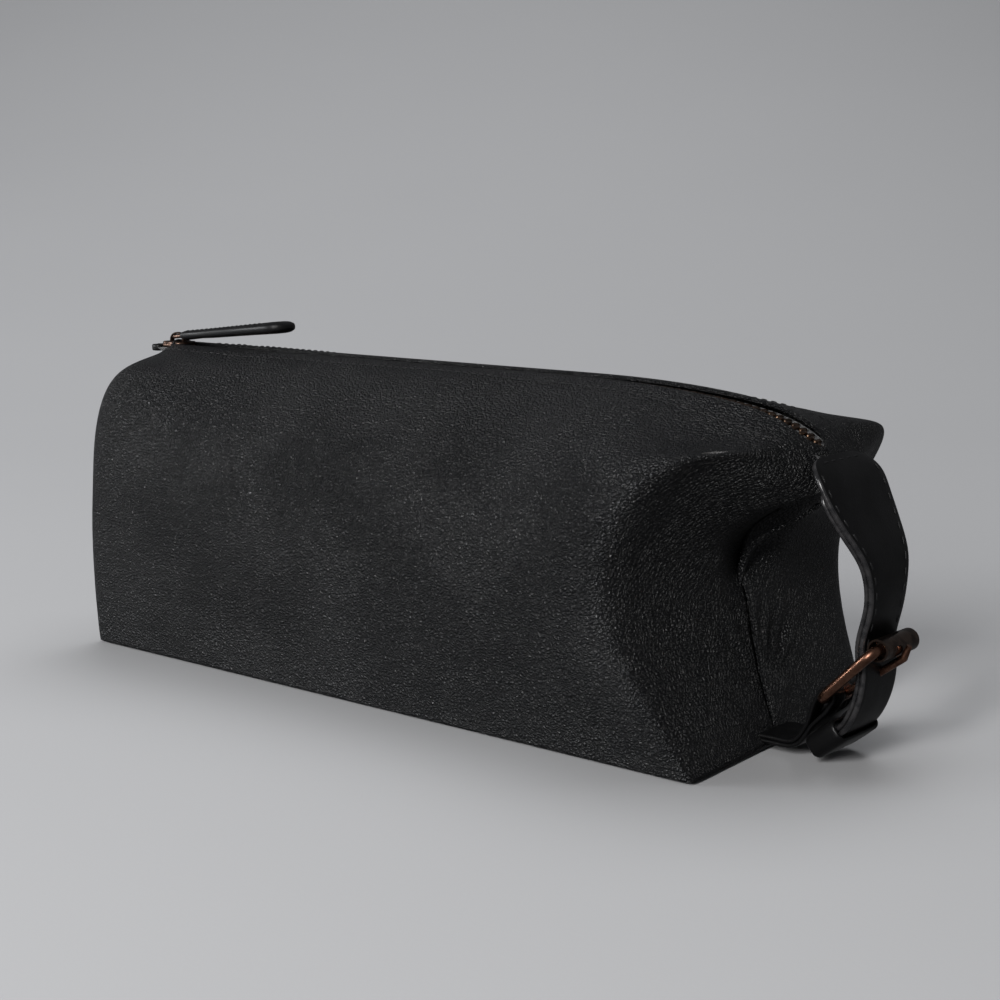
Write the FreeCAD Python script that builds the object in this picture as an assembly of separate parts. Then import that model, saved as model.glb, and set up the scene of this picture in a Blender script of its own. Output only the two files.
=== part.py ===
"""Shaving kit bag: a boxy leather zip-top wash bag with a buckled strap handle at one end.

Frame: origin at the centre of the base on the surface it stands on.  +X runs along the bag
to the handle end, +Z is up, and the front wall faces -Y.  Millimetres.

The hide of the real bag is one continuous folded skin.  Here it is divided at its fold lines
into thin shells, so that the two halves of the zipped mouth can swing apart.
"""
import FreeCAD, Part
import math
import os

from FreeCAD import Vector

# ---------------------------------------------------------------- driving dimensions

BASE_HALF_LENGTH = 135.0      # base corner to centre, along X
BASE_HALF_WIDTH = 54.0        # base corner to centre, along Y
LEFT_OVERHANG = 12.0          # extra length of the base at the end where the zip starts
ZIP_HEIGHT = 114.0            # leather edge beside the zip, on its straight run
ZIP_EDGE_Y = 6.5              # leather edge to the bag's centre plane
ZIP_START_X = -163.0          # closed end of the zip
ZIP_BEND_X = 96.0             # the straight run ends here and the zip bends down to the handle
ZIP_END_X = 148.0             # end of the zip, under the handle's head
ZIP_END_DROP = 18.3           # how far the zip has dropped there
ZIP_END_CURVE = 2.6           # power of the curve that it drops along

HIDE = 1.6                    # leather thickness
LINING = 0.5                  # lining cloth thickness
PLY_GAP = 0.2                 # between the leather and its lining
SEAM_GAP = 0.4                # between neighbouring panels along a fold
SEAM_HALF_WIDTH = 2.0         # half of the sewn seam that runs down the middle of each end
BOARD = 1.5                   # stiffener board in the base

MOUTH_START_X = -86.0         # the two lips swing between these two planes
MOUTH_END_X = 78.0
SHOULDER_V = 2.0              # surface parameter of the fold line that the lips swing on
EDGE_V = 4.0                  # surface parameter of the leather edge beside the zip
RIDGE_U_LEFT = 2.0            # surface parameter of the vertical ridge of each ear
RIDGE_U_RIGHT = 10.0
LAST_U = 12.0                 # surface parameter of the seam in the handle end

CHAIN_DROP = 2.2              # middle of the zip chain below the leather edge
TAPE_THICKNESS = 0.5
TAPE_OUTER_Y = 5.9
TAPE_INNER_Y = 1.0
TAPE_CLEARANCE = 0.15         # between the tape and each leg of a tooth
TOOTH_PITCH = 3.0
TOOTH_WIDTH = 1.3             # along the chain
TOOTH_HEIGHT = 2.4
TOOTH_REACH = 0.6             # how far a tooth reaches past the centre plane
TOOTH_LEG_Y = 3.1             # outer end of the legs that grip the tape

SLIDER_X = -157.0             # centre of the slider with the bag zipped up
SLIDER_LENGTH = 11.0
SLIDER_HALF_WIDTH = 4.6
SLIDER_PLATE = 1.2
SLIDER_CLEARANCE = 0.3        # between the plates and the teeth
BAIL_PIN_RADIUS = 0.9
BAIL_CLEARANCE = 0.06
PULL_ANGLE = 6.0              # rise of the pull above the zip
PULL_LENGTH = 59.0
PULL_HALF_WIDTH = 3.6         # at the link; it swells towards the tip
PULL_SWELL = 3.4
PULL_HALF_HEIGHT = 1.6        # at the link; it thickens towards the tip
PULL_THICKEN = 0.7

STRAP_WIDTH = 21.0
STRAP_OUTER = 1.8             # thickness of the outer ply
STRAP_INNER = 1.5             # thickness of the inner ply
PLY_SEAM = 0.1                # between the two plies
HEAD_WIDTH = 38.5             # width of the strap's shield-shaped head
HEAD_END, HEAD_TAPER = 0.09, 0.40         # shares of the strap's length where the head narrows
BUCKLE_WIRE = 3.4             # wire diameter
HEEL_X = 154.0                # heel bar of the buckle
HEEL_Z = 21.0
ROLLER_X = 171.6              # roller bar of the buckle
ROLLER_Z = 38.8
ROLLER_RADIUS = 3.55
ROLLER_HALF_LENGTH = 10.0
FRAME_HALF_WIDTH = 13.0       # middle of each side bar to the centre plane
FRAME_BEND = 3.6              # bend radius of the frame's corners
RUNNING_CLEARANCE = 0.08      # radial, for what turns on a bar
PRONG_RADIUS = 1.25
TAB_HALF_WIDTH = 9.5
TAB_LEATHER = 1.4

# ---------------------------------------------------------------- the bag's outer surface

def zip_line(x):
    """Height of the control points of the leather edge beside the zip at x."""
    t = max((x - ZIP_BEND_X) / (ZIP_END_X - ZIP_BEND_X), 0.0)
    return ZIP_HEIGHT - ZIP_END_DROP * t ** ZIP_END_CURVE


def level(wall_y, wall_z, ear_y, ear_z, ear_x, corner, seam_x, seam_z):
    """One level of the bag, from the base up: its wall, its ears and its two end seams.

    The ear values are for the left end, the right end's front and the right end's back, because
    the bag has slumped a little at its handle end.  The seam values are for the left and right.
    """
    return {"wall": (wall_y, wall_z), "ear_y": ear_y, "ear_z": ear_z, "ear_x": ear_x,
            "corner": corner, "seam_x": seam_x, "seam_z": seam_z}


LEVELS = [
    level(BASE_HALF_WIDTH, 0, (BASE_HALF_WIDTH,) * 3, (0, 0, 0),
          (BASE_HALF_LENGTH + LEFT_OVERHANG, BASE_HALF_LENGTH, BASE_HALF_LENGTH),
          (5, 5, 5), (142, 132), (0, 0)),
    level(56, 14, (56, 56, 56), (15, 15, 14), (151, 127, 133), (14, 16, 15), (136, 126), (15, 15)),
    level(58.5, 46, (58, 60.5, 58), (48, 44, 46), (150, 103, 119), (26, 24, 28), (127, 118), (44, 44)),
    level(56.0, 77, (58, 59.5, 58), (86, 79, 75), (146, 109, 127), (26, 26, 28), (131, 121), (76, 66)),
    level(39.0, 99, (54, 50, 55), (108, 103, 102), (139, 127, 148), (20, 26, 24), (144, 150), (98, 76)),
    level(21.0, 111, (30, 30, 32), (111, 102, 103), (143, 139, 144), (16, 22, 22), (153, 152),
          (105, 86)),
    level(ZIP_EDGE_Y, 0, (ZIP_EDGE_Y,) * 3, (0, 0, 0), (150, 141, 139), (14, 14, 14), (158, 147),
          (0, 0)),
]

WALL_COLUMNS = (-86, -46, 0, 42, 80)      # X of the control columns along the wall
WALL_REACH = ((142, 130), (135, 122), (126, 98), (125, 101), (126, 114), (131, 118), (136, 125))
LEFT, FRONT_RIGHT, BACK_RIGHT = 0, 1, 2   # which of a level's ear values
EAR_NARROWEST = 0.72                      # an ear's round corner stays outside this share of its Y
FOLD_SHARE = (0.30, 0.36, 0.35)           # X, Y, Z shares from the seam out to an end's middle column
EAR_BOXINESS = 0.6                        # how much of an ear's section the wall takes on beside it


def ear_columns(lev, ear):
    """Control points of one end at one level, from its seam to the wall."""
    end = 0 if ear == LEFT else 1
    side = (-1, 1)[end]
    y, z = lev["ear_y"][ear], lev["ear_z"][ear]
    x, corner = lev["ear_x"][ear], lev["corner"][ear]
    seam_x, seam_z = lev["seam_x"][end], lev["seam_z"][end]
    near_y = max(y - corner, EAR_NARROWEST * y)
    if lev is LEVELS[-1]:
        places = [(seam_x, 0), (seam_x - 1.5, -0.5 * y), (seam_x - 4, -y), (x, -y), (x - corner, -y)]
        return [Vector(side * px, py, zip_line(side * px)) for px, py in places]
    share_x, share_y, share_z = FOLD_SHARE
    return [
        Vector(side * seam_x, 0, seam_z),
        Vector(side * (seam_x + share_x * (x - seam_x)), -share_y * y, seam_z + share_z * (z - seam_z)),
        Vector(side * x, -near_y, z),
        Vector(side * x, -y, z),
        Vector(side * (x - corner), -y, z),
    ]


def wall_point(lev, reach, x):
    """Control point of the wall at x: the mid section, growing boxier towards the ears."""
    if lev is LEVELS[-1]:
        return Vector(x, -ZIP_EDGE_Y, zip_line(x))
    end, ear = (0, LEFT) if x < 0 else (1, BACK_RIGHT)
    share = EAR_BOXINESS * (abs(x) / reach[end]) ** 3
    y = lev["wall"][0] + share * (lev["ear_y"][ear] - lev["wall"][0])
    z = lev["wall"][1] + share * (lev["ear_z"][ear] - lev["wall"][1])
    return Vector(x, -y, z)


def control_net(right_ear):
    rows = []
    for lev, reach in zip(LEVELS, WALL_REACH):
        left = ear_columns(lev, LEFT)
        wall = [wall_point(lev, reach, x) for x in WALL_COLUMNS]
        right = ear_columns(lev, right_ear)
        rows.append(left + wall + right[::-1])
    return [list(column) for column in zip(*rows)]


def clamped_knots(count):
    """Knots and multiplicities of a clamped uniform cubic spline with this many poles."""
    spans = count - 3
    knots = [float(k) for k in range(spans + 1)]
    return knots, [4] + [1] * (spans - 1) + [4]


def half_surface(right_ear):
    """The outer surface of one half, drawn on the front side of the centre plane."""
    net = control_net(right_ear)
    u_knots, u_mults = clamped_knots(len(net))
    v_knots, v_mults = clamped_knots(len(net[0]))
    surface = Part.BSplineSurface()
    surface.buildFromPolesMultsKnots(net, u_mults, v_mults, u_knots, v_knots,
                                     False, False, 3, 3)
    return surface


HALVES = {"front": half_surface(FRONT_RIGHT), "back": half_surface(BACK_RIGHT)}
OUTWARD = 1.0 if HALVES["front"].normal(LAST_U / 2, 1.0).y < 0 else -1.0


def u_at(half, x, v):
    """The surface parameter u where a wall crosses the plane X = x at height v."""
    low, high = RIDGE_U_LEFT, RIDGE_U_RIGHT
    for _ in range(40):
        mid = 0.5 * (low + high)
        if half.value(mid, v).x < x:
            low = mid
        else:
            high = mid
    return 0.5 * (low + high)


def u_beside_seam(half, end, v):
    """The surface parameter u where an end stands clear of its centre seam at height v."""
    seam, ridge = ((0.0, RIDGE_U_LEFT), (LAST_U, RIDGE_U_RIGHT))[end]
    for _ in range(30):
        mid = 0.5 * (seam + ridge)
        if half.value(mid, v).y > -SEAM_HALF_WIDTH:
            seam = mid
        else:
            ridge = mid
    return 0.5 * (seam + ridge)


def skin_point(half, u, v, depth):
    """A point this deep under the outer surface, and clear of the bag's centre seams."""
    point = half.value(u, v) - half.normal(u, v) * (OUTWARD * depth)
    point.y = min(point.y, 0.2 - SEAM_HALF_WIDTH)
    return point


# ---------------------------------------------------------------- solids from point grids

def grid_face(points):
    surface = Part.BSplineSurface()
    surface.interpolate(points)
    return surface


def closed_shell(top, bottom):
    """A thin solid between two grids of points."""
    upper, lower = grid_face(top), grid_face(bottom)
    faces = [upper.toShape(), lower.toShape()]
    limits = upper.bounds()
    other = lower.bounds()
    for k in (0, 1):
        faces.append(Part.makeRuledSurface(upper.uIso(limits[k]).toShape(),
                                           lower.uIso(other[k]).toShape()))
    for k in (2, 3):
        faces.append(Part.makeRuledSurface(upper.vIso(limits[k]).toShape(),
                                           lower.vIso(other[k]).toShape()))
    shell = Part.makeShell(faces)
    shell.sewShape()
    solid = Part.makeSolid(shell)
    if solid.Volume < 0:
        solid.reverse()
    return solid


def spread(low, high, count):
    return [low + (high - low) * k / (count - 1) for k in range(count)]


def panel(half, columns, depth, thickness):
    """A shell between two depths.  columns lists, for each column, its (u, v) points."""
    top = [[skin_point(half, u, v, depth) for u, v in column] for column in columns]
    bottom = [[skin_point(half, u, v, depth + thickness) for u, v in column] for column in columns]
    return closed_shell(top, bottom)


def wall_strip(half, x_low, x_high, v_low, v_high, count_x, count_v):
    """(u, v) columns of the wall between two planes of constant X."""
    return [[(u_at(half, x, v), v) for v in spread(v_low, v_high, count_v)]
            for x in spread(x_low, x_high, count_x)]


def wing_strip(half, x, ridge_u, v_low, v_high, count_u, count_v):
    """(u, v) columns between a plane of constant X and the vertical ridge of an ear."""
    columns = []
    for t in spread(0.0, 1.0, count_u):
        columns.append([(u_at(half, x, v) * (1 - t) + ridge_u * t, v)
                        for v in spread(v_low, v_high, count_v)])
    return columns


def end_strip(half, end, ridge_u, v_low, v_high, count_u, count_v):
    """(u, v) columns from the centre seam of an end out to the ridge of its ear."""
    columns = []
    for t in spread(0.0, 1.0, count_u):
        columns.append([(u_beside_seam(half, end, v) * (1 - t) + ridge_u * t, v)
                        for v in spread(v_low, v_high, count_v)])
    return columns


def to_back(shape):
    """The same piece on the back of the bag."""
    return shape.mirror(Vector(0, 0, 0), Vector(0, 1, 0))


# ---------------------------------------------------------------- leather and lining

FOOT_V = 0.065                # the walls start just above the base panel's edge
FOLD_V = 0.020                # half the gap along the shoulder fold
LINING_TOP_V = 3.65           # the lining is sewn to the zip tape below the leather edge
RIDGE_U = 0.034               # half the gap along each ear's ridge
SEAM_DEPTH = 5.0              # how far the seam's allowance reaches into the bag
FOLD_TOP_V = 3.3              # the end folds stop here, under the cap beneath the zip
CAP_CLEAR_V = 0.18            # from the top of the folds up to the cap
CAP_TOP_V = 3.66
CAP_HALF_WIDTH = 4.5
CAP_DEPTH = 4.0


def lower_wall(half, depth, thickness):
    """The standing wall, from ridge to ridge and from the base up to the shoulder fold."""
    columns = []
    for u in spread(RIDGE_U_LEFT + RIDGE_U, RIDGE_U_RIGHT - RIDGE_U, 25):
        columns.append([(u, v) for v in spread(FOOT_V, SHOULDER_V - FOLD_V, 11)])
    return panel(half, columns, depth, thickness)


def lip(half, depth, thickness, top_v):
    """One half of the mouth: it swings out on the shoulder fold when the zip is open."""
    low, high = MOUTH_START_X + SEAM_GAP / 2, MOUTH_END_X - SEAM_GAP / 2
    strip = wall_strip(half, low, high, SHOULDER_V + FOLD_V, top_v, 13, 13)
    return panel(half, strip, depth, thickness)


def wing(half, end, depth, thickness):
    """The fixed part of the top beside the lip, out to the ear's ridge."""
    x = (MOUTH_START_X - SEAM_GAP / 2, MOUTH_END_X + SEAM_GAP / 2)[end]
    ridge = (RIDGE_U_LEFT + RIDGE_U, RIDGE_U_RIGHT - RIDGE_U)[end]
    strip = wing_strip(half, x, ridge, SHOULDER_V + FOLD_V, EDGE_V, 10, 13)
    return panel(half, strip, depth, thickness)


def end_fold(half, end, depth, thickness):
    """Half of an end: from its recessed centre seam out to the ear's ridge."""
    ridge = (RIDGE_U_LEFT - RIDGE_U, RIDGE_U_RIGHT + RIDGE_U)[end]
    strip = end_strip(half, end, ridge, FOOT_V, FOLD_TOP_V, 13, 19)
    return panel(half, strip, depth, thickness)


def along_seam(end, v_low, v_high, half_width, set_back, depth):
    """A bar that follows the middle of an end, this wide and this deep into the bag."""
    seam_u = (0.0, LAST_U)[end]
    inward = Vector((1, -1)[end], 0, 0)
    outer = [HALVES["front"].value(seam_u, v) for v in spread(v_low, v_high, 15)]
    sides = []
    for y in (-half_width, half_width):
        sides.append([[Vector(p.x, y, p.z) + inward * (set_back + d) for p in outer]
                      for d in spread(0.0, depth, 4)])
    return closed_shell(sides[0], sides[1])


def end_seam(end):
    """The sewn seam down the middle of an end: the turned-in edges of both halves."""
    return along_seam(end, 0.12, FOLD_TOP_V - 0.02, SEAM_HALF_WIDTH - 0.6, 0.4, SEAM_DEPTH)


def end_cap(end):
    """The folded leather where an end runs out under the zip."""
    return along_seam(end, FOLD_TOP_V + CAP_CLEAR_V, CAP_TOP_V, CAP_HALF_WIDTH, 0.0, CAP_DEPTH)


PANEL_INSET = 0.6             # the base panel stops short of the walls' outer faces
BOARD_END_INSET = 12.0        # the board and its lining clear the ends' folds and the walls
BOARD_SIDE_INSET = 6.0
BASE_LINING_INSET = 5.0


def base_slab(end_inset, side_inset, low, thickness, corner):
    """A flat rectangle in the base, inset from the foot of the ends and of the walls."""
    x_left = end_inset - BASE_HALF_LENGTH - LEFT_OVERHANG
    x_right = BASE_HALF_LENGTH - end_inset
    half = BASE_HALF_WIDTH - side_inset
    slab = Part.makeBox(x_right - x_left, 2 * half, thickness, Vector(x_left, -half, low))
    upright = [edge for edge in slab.Edges if edge.BoundBox.ZLength > 0.9 * thickness]
    return slab.makeFillet(corner, upright)


# ---------------------------------------------------------------- the zip

EDGE_START_X, EDGE_END_X = -150.0, 145.5  # the leather's edge is read off between these planes


def edge_height(x):
    """Height of the leather edge beside the zip at x, and on straight past both its ends."""
    if x > EDGE_END_X:
        near = edge_height(EDGE_END_X)
        return near + (near - edge_height(EDGE_END_X - 1)) * (x - EDGE_END_X)
    if x < EDGE_START_X:
        return ZIP_HEIGHT
    low, high = 0.0, LAST_U
    for _ in range(40):
        mid = 0.5 * (low + high)
        if HALVES["front"].value(mid, EDGE_V).x < x:
            low = mid
        else:
            high = mid
    return HALVES["front"].value(mid, EDGE_V).z


def chain_frame(x):
    """Height of the chain's middle at x, and its slope."""
    step = 0.5
    slope = (edge_height(x + step) - edge_height(x - step)) / (2 * step)
    return edge_height(x) - CHAIN_DROP, slope


def on_chain(piece, x):
    """Turn a piece drawn level at the origin onto the zip line at x."""
    z, slope = chain_frame(x)
    piece.rotate(Vector(0, 0, 0), Vector(0, 1, 0), -math.degrees(math.atan(slope)))
    piece.translate(Vector(x, 0, z))
    return piece


def tape(x_low, x_high, inner_y, outer_y):
    """A strip of woven tape, thin in Z, that follows the zip line on the front side."""
    count = max(4, int((x_high - x_low) / 8))
    top, bottom = [], []
    for x in spread(x_low, x_high, count):
        z, _ = chain_frame(x)
        ys = spread(-inner_y, -outer_y, 4)
        top.append([Vector(x, y, z + TAPE_THICKNESS / 2) for y in ys])
        bottom.append([Vector(x, y, z - TAPE_THICKNESS / 2) for y in ys])
    return closed_shell(top, bottom)


def tooth():
    """One tooth of the front row: a head across the centre plane and legs round the tape."""
    half = TOOTH_HEIGHT / 2
    slot = TAPE_THICKNESS / 2 + TAPE_CLEARANCE
    root_y = TAPE_CLEARANCE - TAPE_INNER_Y
    outline = [(TOOTH_REACH, -half), (TOOTH_REACH, half), (-TOOTH_LEG_Y, half),
               (-TOOTH_LEG_Y, slot), (root_y, slot), (root_y, -slot),
               (-TOOTH_LEG_Y, -slot), (-TOOTH_LEG_Y, -half)]
    corners = [Vector(-TOOTH_WIDTH / 2, y, z) for y, z in outline]
    face = Part.Face(Part.makePolygon(corners + corners[:1]))
    return face.extrude(Vector(TOOTH_WIDTH, 0, 0))


def chain_positions():
    """X of every front tooth, at equal steps along the zip line."""
    places = []
    x = ZIP_START_X + 2.5
    while x < ZIP_END_X - 3:
        places.append(x)
        _, slope = chain_frame(x)
        x += TOOTH_PITCH * math.cos(math.atan(slope))
    return places


def teeth(x_low, x_high, side):
    """The teeth of one row between two X.  side -1 is the front row, 1 the back row."""
    pattern = tooth() if side < 0 else to_back(tooth())
    row = []
    for place in chain_positions():
        _, slope = chain_frame(place)
        x = place if side < 0 else place + 0.5 * TOOTH_PITCH * math.cos(math.atan(slope))
        if x_low + TOOTH_WIDTH < x < x_high - TOOTH_WIDTH:
            row.append(on_chain(pattern.copy(), x))
    return Part.makeCompound(row)


def zip_end_tab():
    """The folded leather tab that closes the start of the zip."""
    length, half, thickness, corner = 4.0, 6.5, 2.4, 2.5
    tab = Part.makeBox(length, 2 * half, thickness, Vector(-length, -half, -thickness / 2))
    outer = [edge for edge in tab.Edges
             if edge.BoundBox.ZLength > 2.0 and edge.BoundBox.XMax < 1 - length]
    return on_chain(tab.makeFillet(corner, outer), ZIP_START_X)


def slider_plate(above):
    """One plate of the slider with its two side flanges; above tells which side of the chain."""
    near = TOOTH_HEIGHT / 2 + SLIDER_CLEARANCE
    far = near + SLIDER_PLATE
    tape_gap, chamfer = 0.25, 0.5
    lip_z = TAPE_THICKNESS / 2 + tape_gap
    wall_y = TOOTH_LEG_Y + SLIDER_CLEARANCE
    outline = [(-SLIDER_HALF_WIDTH, lip_z), (-SLIDER_HALF_WIDTH, far - chamfer),
               (chamfer - SLIDER_HALF_WIDTH, far), (SLIDER_HALF_WIDTH - chamfer, far),
               (SLIDER_HALF_WIDTH, far - chamfer), (SLIDER_HALF_WIDTH, lip_z),
               (wall_y, lip_z), (wall_y, near), (-wall_y, near), (-wall_y, lip_z)]
    sign = 1 if above else -1
    corners = [Vector(-SLIDER_LENGTH / 2, y, sign * z) for y, z in outline]
    face = Part.Face(Part.makePolygon(corners + corners[:1]))
    return face.extrude(Vector(SLIDER_LENGTH, 0, 0))


SLIDER_TOP = TOOTH_HEIGHT / 2 + SLIDER_CLEARANCE + SLIDER_PLATE
PIVOT_Z = SLIDER_TOP + 1.9    # the pull's pin above the chain's middle


def slider_bail():
    """The eye on top of the slider that holds the pull's pin."""
    eye, half = 2.0, 1.4          # radius and half length of the eye
    overlap = 0.2                 # the post is sunk this far into the plate
    axis = Vector(0, 1, 0)
    post = Part.makeBox(2 * eye, 2 * half, PIVOT_Z - SLIDER_TOP + overlap,
                        Vector(-eye, -half, SLIDER_TOP - overlap))
    crown = Part.makeCylinder(eye, 2 * half, Vector(0, -half, PIVOT_Z), axis)
    hole = Part.makeCylinder(BAIL_PIN_RADIUS + BAIL_CLEARANCE, 4 * half,
                             Vector(0, -2 * half, PIVOT_Z), axis)
    return post.fuse(crown).cut(hole).removeSplitter()


def slider():
    upper = slider_plate(True).fuse(slider_bail()).removeSplitter()
    return on_chain(Part.makeCompound([upper, slider_plate(False)]), SLIDER_X)


def raised(piece):
    """Turn a piece drawn along +X from the pull's pin to its place at rest."""
    piece.rotate(Vector(0, 0, 0), Vector(0, 1, 0), -PULL_ANGLE)
    piece.translate(Vector(0, 0, PIVOT_Z))
    return on_chain(piece, SLIDER_X)


ARM_Y = 1.9                   # inner side of each arm of the pull's link
ARM_THICKNESS = 1.1
LINK_LENGTH = 7.5


def pull_link():
    """The metal link: a pin through the eye, two arms and a bar inside the leather tab."""
    outer = ARM_Y + ARM_THICKNESS
    pin = Part.makeCylinder(BAIL_PIN_RADIUS, 2 * outer, Vector(0, -outer, 0), Vector(0, 1, 0))
    link = pin
    for y in (-outer, ARM_Y):
        arm = Part.makeBox(LINK_LENGTH, ARM_THICKNESS, 2 * BAIL_PIN_RADIUS,
                           Vector(0, y, -BAIL_PIN_RADIUS))
        link = link.fuse(arm)
    bar = Part.makeBox(ARM_THICKNESS, 2 * outer, 2 * BAIL_PIN_RADIUS,
                       Vector(LINK_LENGTH - ARM_THICKNESS, -outer, -BAIL_PIN_RADIUS))
    return raised(link.fuse(bar).removeSplitter())


def pull_tab():
    """The long leather pull: narrow at the link, swelling to a rounded tip."""
    start = LINK_LENGTH + 0.1     # just clear of the link's bar
    rim = 0.4                     # height of the side faces between the two crowned ones
    swell_end, tip_round = 0.88, 0.85     # where the tip starts, and how far it rounds in
    top, bottom = [], []
    for t in spread(0.0, 1.0, 24):
        swell = math.sin(math.pi / 2 * min(t / swell_end, 1.0)) ** 2
        half_width = PULL_HALF_WIDTH + PULL_SWELL * swell
        half_height = PULL_HALF_HEIGHT + PULL_THICKEN * t ** 2
        if t > swell_end:
            round_off = math.sqrt(1.0 - tip_round * ((t - swell_end) / (1 - swell_end)) ** 2)
            half_width *= round_off
            half_height *= round_off
        crown = [k * math.pi / 2 for k in spread(-1.0, 1.0, 9)]
        x = start + t * PULL_LENGTH
        top.append([Vector(x, half_width * math.sin(a), rim + half_height * math.cos(a))
                    for a in crown])
        bottom.append([Vector(x, half_width * math.sin(a), rim / 2 - half_height * math.cos(a))
                       for a in crown])
    return raised(closed_shell(top, bottom))


# ---------------------------------------------------------------- the handle

STRAP_PATH = [                # side view of the strap's outer face, from its head to its tail
    (149.8, 95.6), (153.2, 92.6), (156.4, 88.6), (159.0, 83.6), (161.6, 78.9), (164.2, 74.5),
    (166.9, 69.9), (168.8, 65.6), (170.0, 58.0), (169.0, 47.5), (167.2, 38.8), (167.8, 30.5),
    (167.0, 23.0), (164.6, 16.0), (160.9, 10.4), (156.3, 6.5), (151.6, 2.6), (150.1, 1.4),
]


def strap_curve():
    curve = Part.BSplineCurve()
    curve.interpolate([Vector(x, 0, z) for x, z in STRAP_PATH])
    return curve


def strap_half_width(s):
    """Half width of the strap at a share s of its length: the head narrows into the strap."""
    taper = min(max((s - HEAD_END) / HEAD_TAPER, 0.0), 1.0)
    return 0.5 * (HEAD_WIDTH + (STRAP_WIDTH - HEAD_WIDTH) * taper * taper * (3 - 2 * taper))


def strap_ply(start, end, depth, thickness, trim):
    """One ply of the strap between two shares of its length, at a depth under its outer face."""
    curve = strap_curve()
    low, high = curve.FirstParameter, curve.LastParameter
    top, bottom = [], []
    for s in spread(start, end, 26):
        p = low + (high - low) * s
        point, tangent = curve.value(p), curve.tangent(p)[0]
        inward = Vector(tangent.z, 0, -tangent.x)
        half = strap_half_width(s) - trim
        ys = spread(-half, half, 5)
        near = point + inward * depth
        far = point + inward * (depth + thickness)
        top.append([Vector(near.x, y, near.z) for y in ys])
        bottom.append([Vector(far.x, y, far.z) for y in ys])
    return closed_shell(top, bottom)


def strap_place(z):
    """Point and direction of the strap's outer face at a height."""
    curve = strap_curve()
    low, high = curve.FirstParameter, curve.LastParameter
    for _ in range(40):
        mid = 0.5 * (low + high)
        if curve.value(mid).z > z:
            low = mid
        else:
            high = mid
    return curve.value(mid), curve.tangent(mid)[0]


def strap_slot(z, length):
    """Cutter for a slot through both plies at a height."""
    point, tangent = strap_place(z)
    half_width, reach = 2.3, 6.0
    box = Part.makeBox(2 * reach, 2 * half_width, length,
                       Vector(-reach, -half_width, -length / 2))
    box.rotate(Vector(0, 0, 0), Vector(0, 1, 0), math.degrees(math.atan2(tangent.x, tangent.z)))
    box.translate(point)
    return box


PRONG_HOLE_Z = 28.4           # height where the prong goes through the strap
SPARE_HOLE_Z = 53.5           # the unused adjusting hole above the roller
PRONG_SLOT_LENGTH = 10.0
SPARE_SLOT_LENGTH = 4.0


def strap(start, depth, thickness, trim):
    ply = strap_ply(start, 1.0, depth, thickness, trim)
    ply = ply.cut(strap_slot(PRONG_HOLE_Z, PRONG_SLOT_LENGTH))
    return ply.cut(strap_slot(SPARE_HOLE_Z, SPARE_SLOT_LENGTH))


def buckle_axis():
    """Unit vector from the heel bar to the roller bar, and the distance between them."""
    along = Vector(ROLLER_X - HEEL_X, 0, ROLLER_Z - HEEL_Z)
    length = along.Length
    return along.normalize(), length


def buckle_frame():
    """The wire rectangle of the buckle, with its rounded corners."""
    along, length = buckle_axis()
    heel = Vector(HEEL_X, 0, HEEL_Z)
    b, w = FRAME_BEND, FRAME_HALF_WIDTH
    mid = b * (1 - math.sqrt(0.5))

    def at(a, y):
        return heel + along * a + Vector(0, y, 0)

    sides = [
        Part.makeLine(at(0, b - w), at(0, w - b)),
        Part.Arc(at(0, w - b), at(mid, w - mid), at(b, w)).toShape(),
        Part.makeLine(at(b, w), at(length - b, w)),
        Part.Arc(at(length - b, w), at(length - mid, w - mid), at(length, w - b)).toShape(),
        Part.makeLine(at(length, w - b), at(length, b - w)),
        Part.Arc(at(length, b - w), at(length - mid, mid - w), at(length - b, -w)).toShape(),
        Part.makeLine(at(length - b, -w), at(b, -w)),
        Part.Arc(at(b, -w), at(mid, mid - w), at(0, b - w)).toShape(),
    ]
    wire = Part.Wire(sides)
    circle = Part.Circle(at(0, b - w), Vector(0, 1, 0), BUCKLE_WIRE / 2).toShape()
    return wire.makePipeShell([Part.Wire([circle])], True, True)


def buckle_roller():
    """The tube that turns on the outer bar, opened out at both ends."""
    start = Vector(ROLLER_X, -ROLLER_HALF_LENGTH, ROLLER_Z)
    axis = Vector(0, 1, 0)
    length = 2 * ROLLER_HALF_LENGTH
    mouth, mouth_radius = 2.5, ROLLER_RADIUS - 0.6
    tube = Part.makeCylinder(ROLLER_RADIUS, length, start, axis)
    tube = tube.cut(Part.makeCylinder(BUCKLE_WIRE / 2 + RUNNING_CLEARANCE, length, start, axis))
    for y in (-ROLLER_HALF_LENGTH, ROLLER_HALF_LENGTH - mouth):
        tube = tube.cut(Part.makeCylinder(mouth_radius, mouth, Vector(ROLLER_X, y, ROLLER_Z), axis))
    return tube


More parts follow.
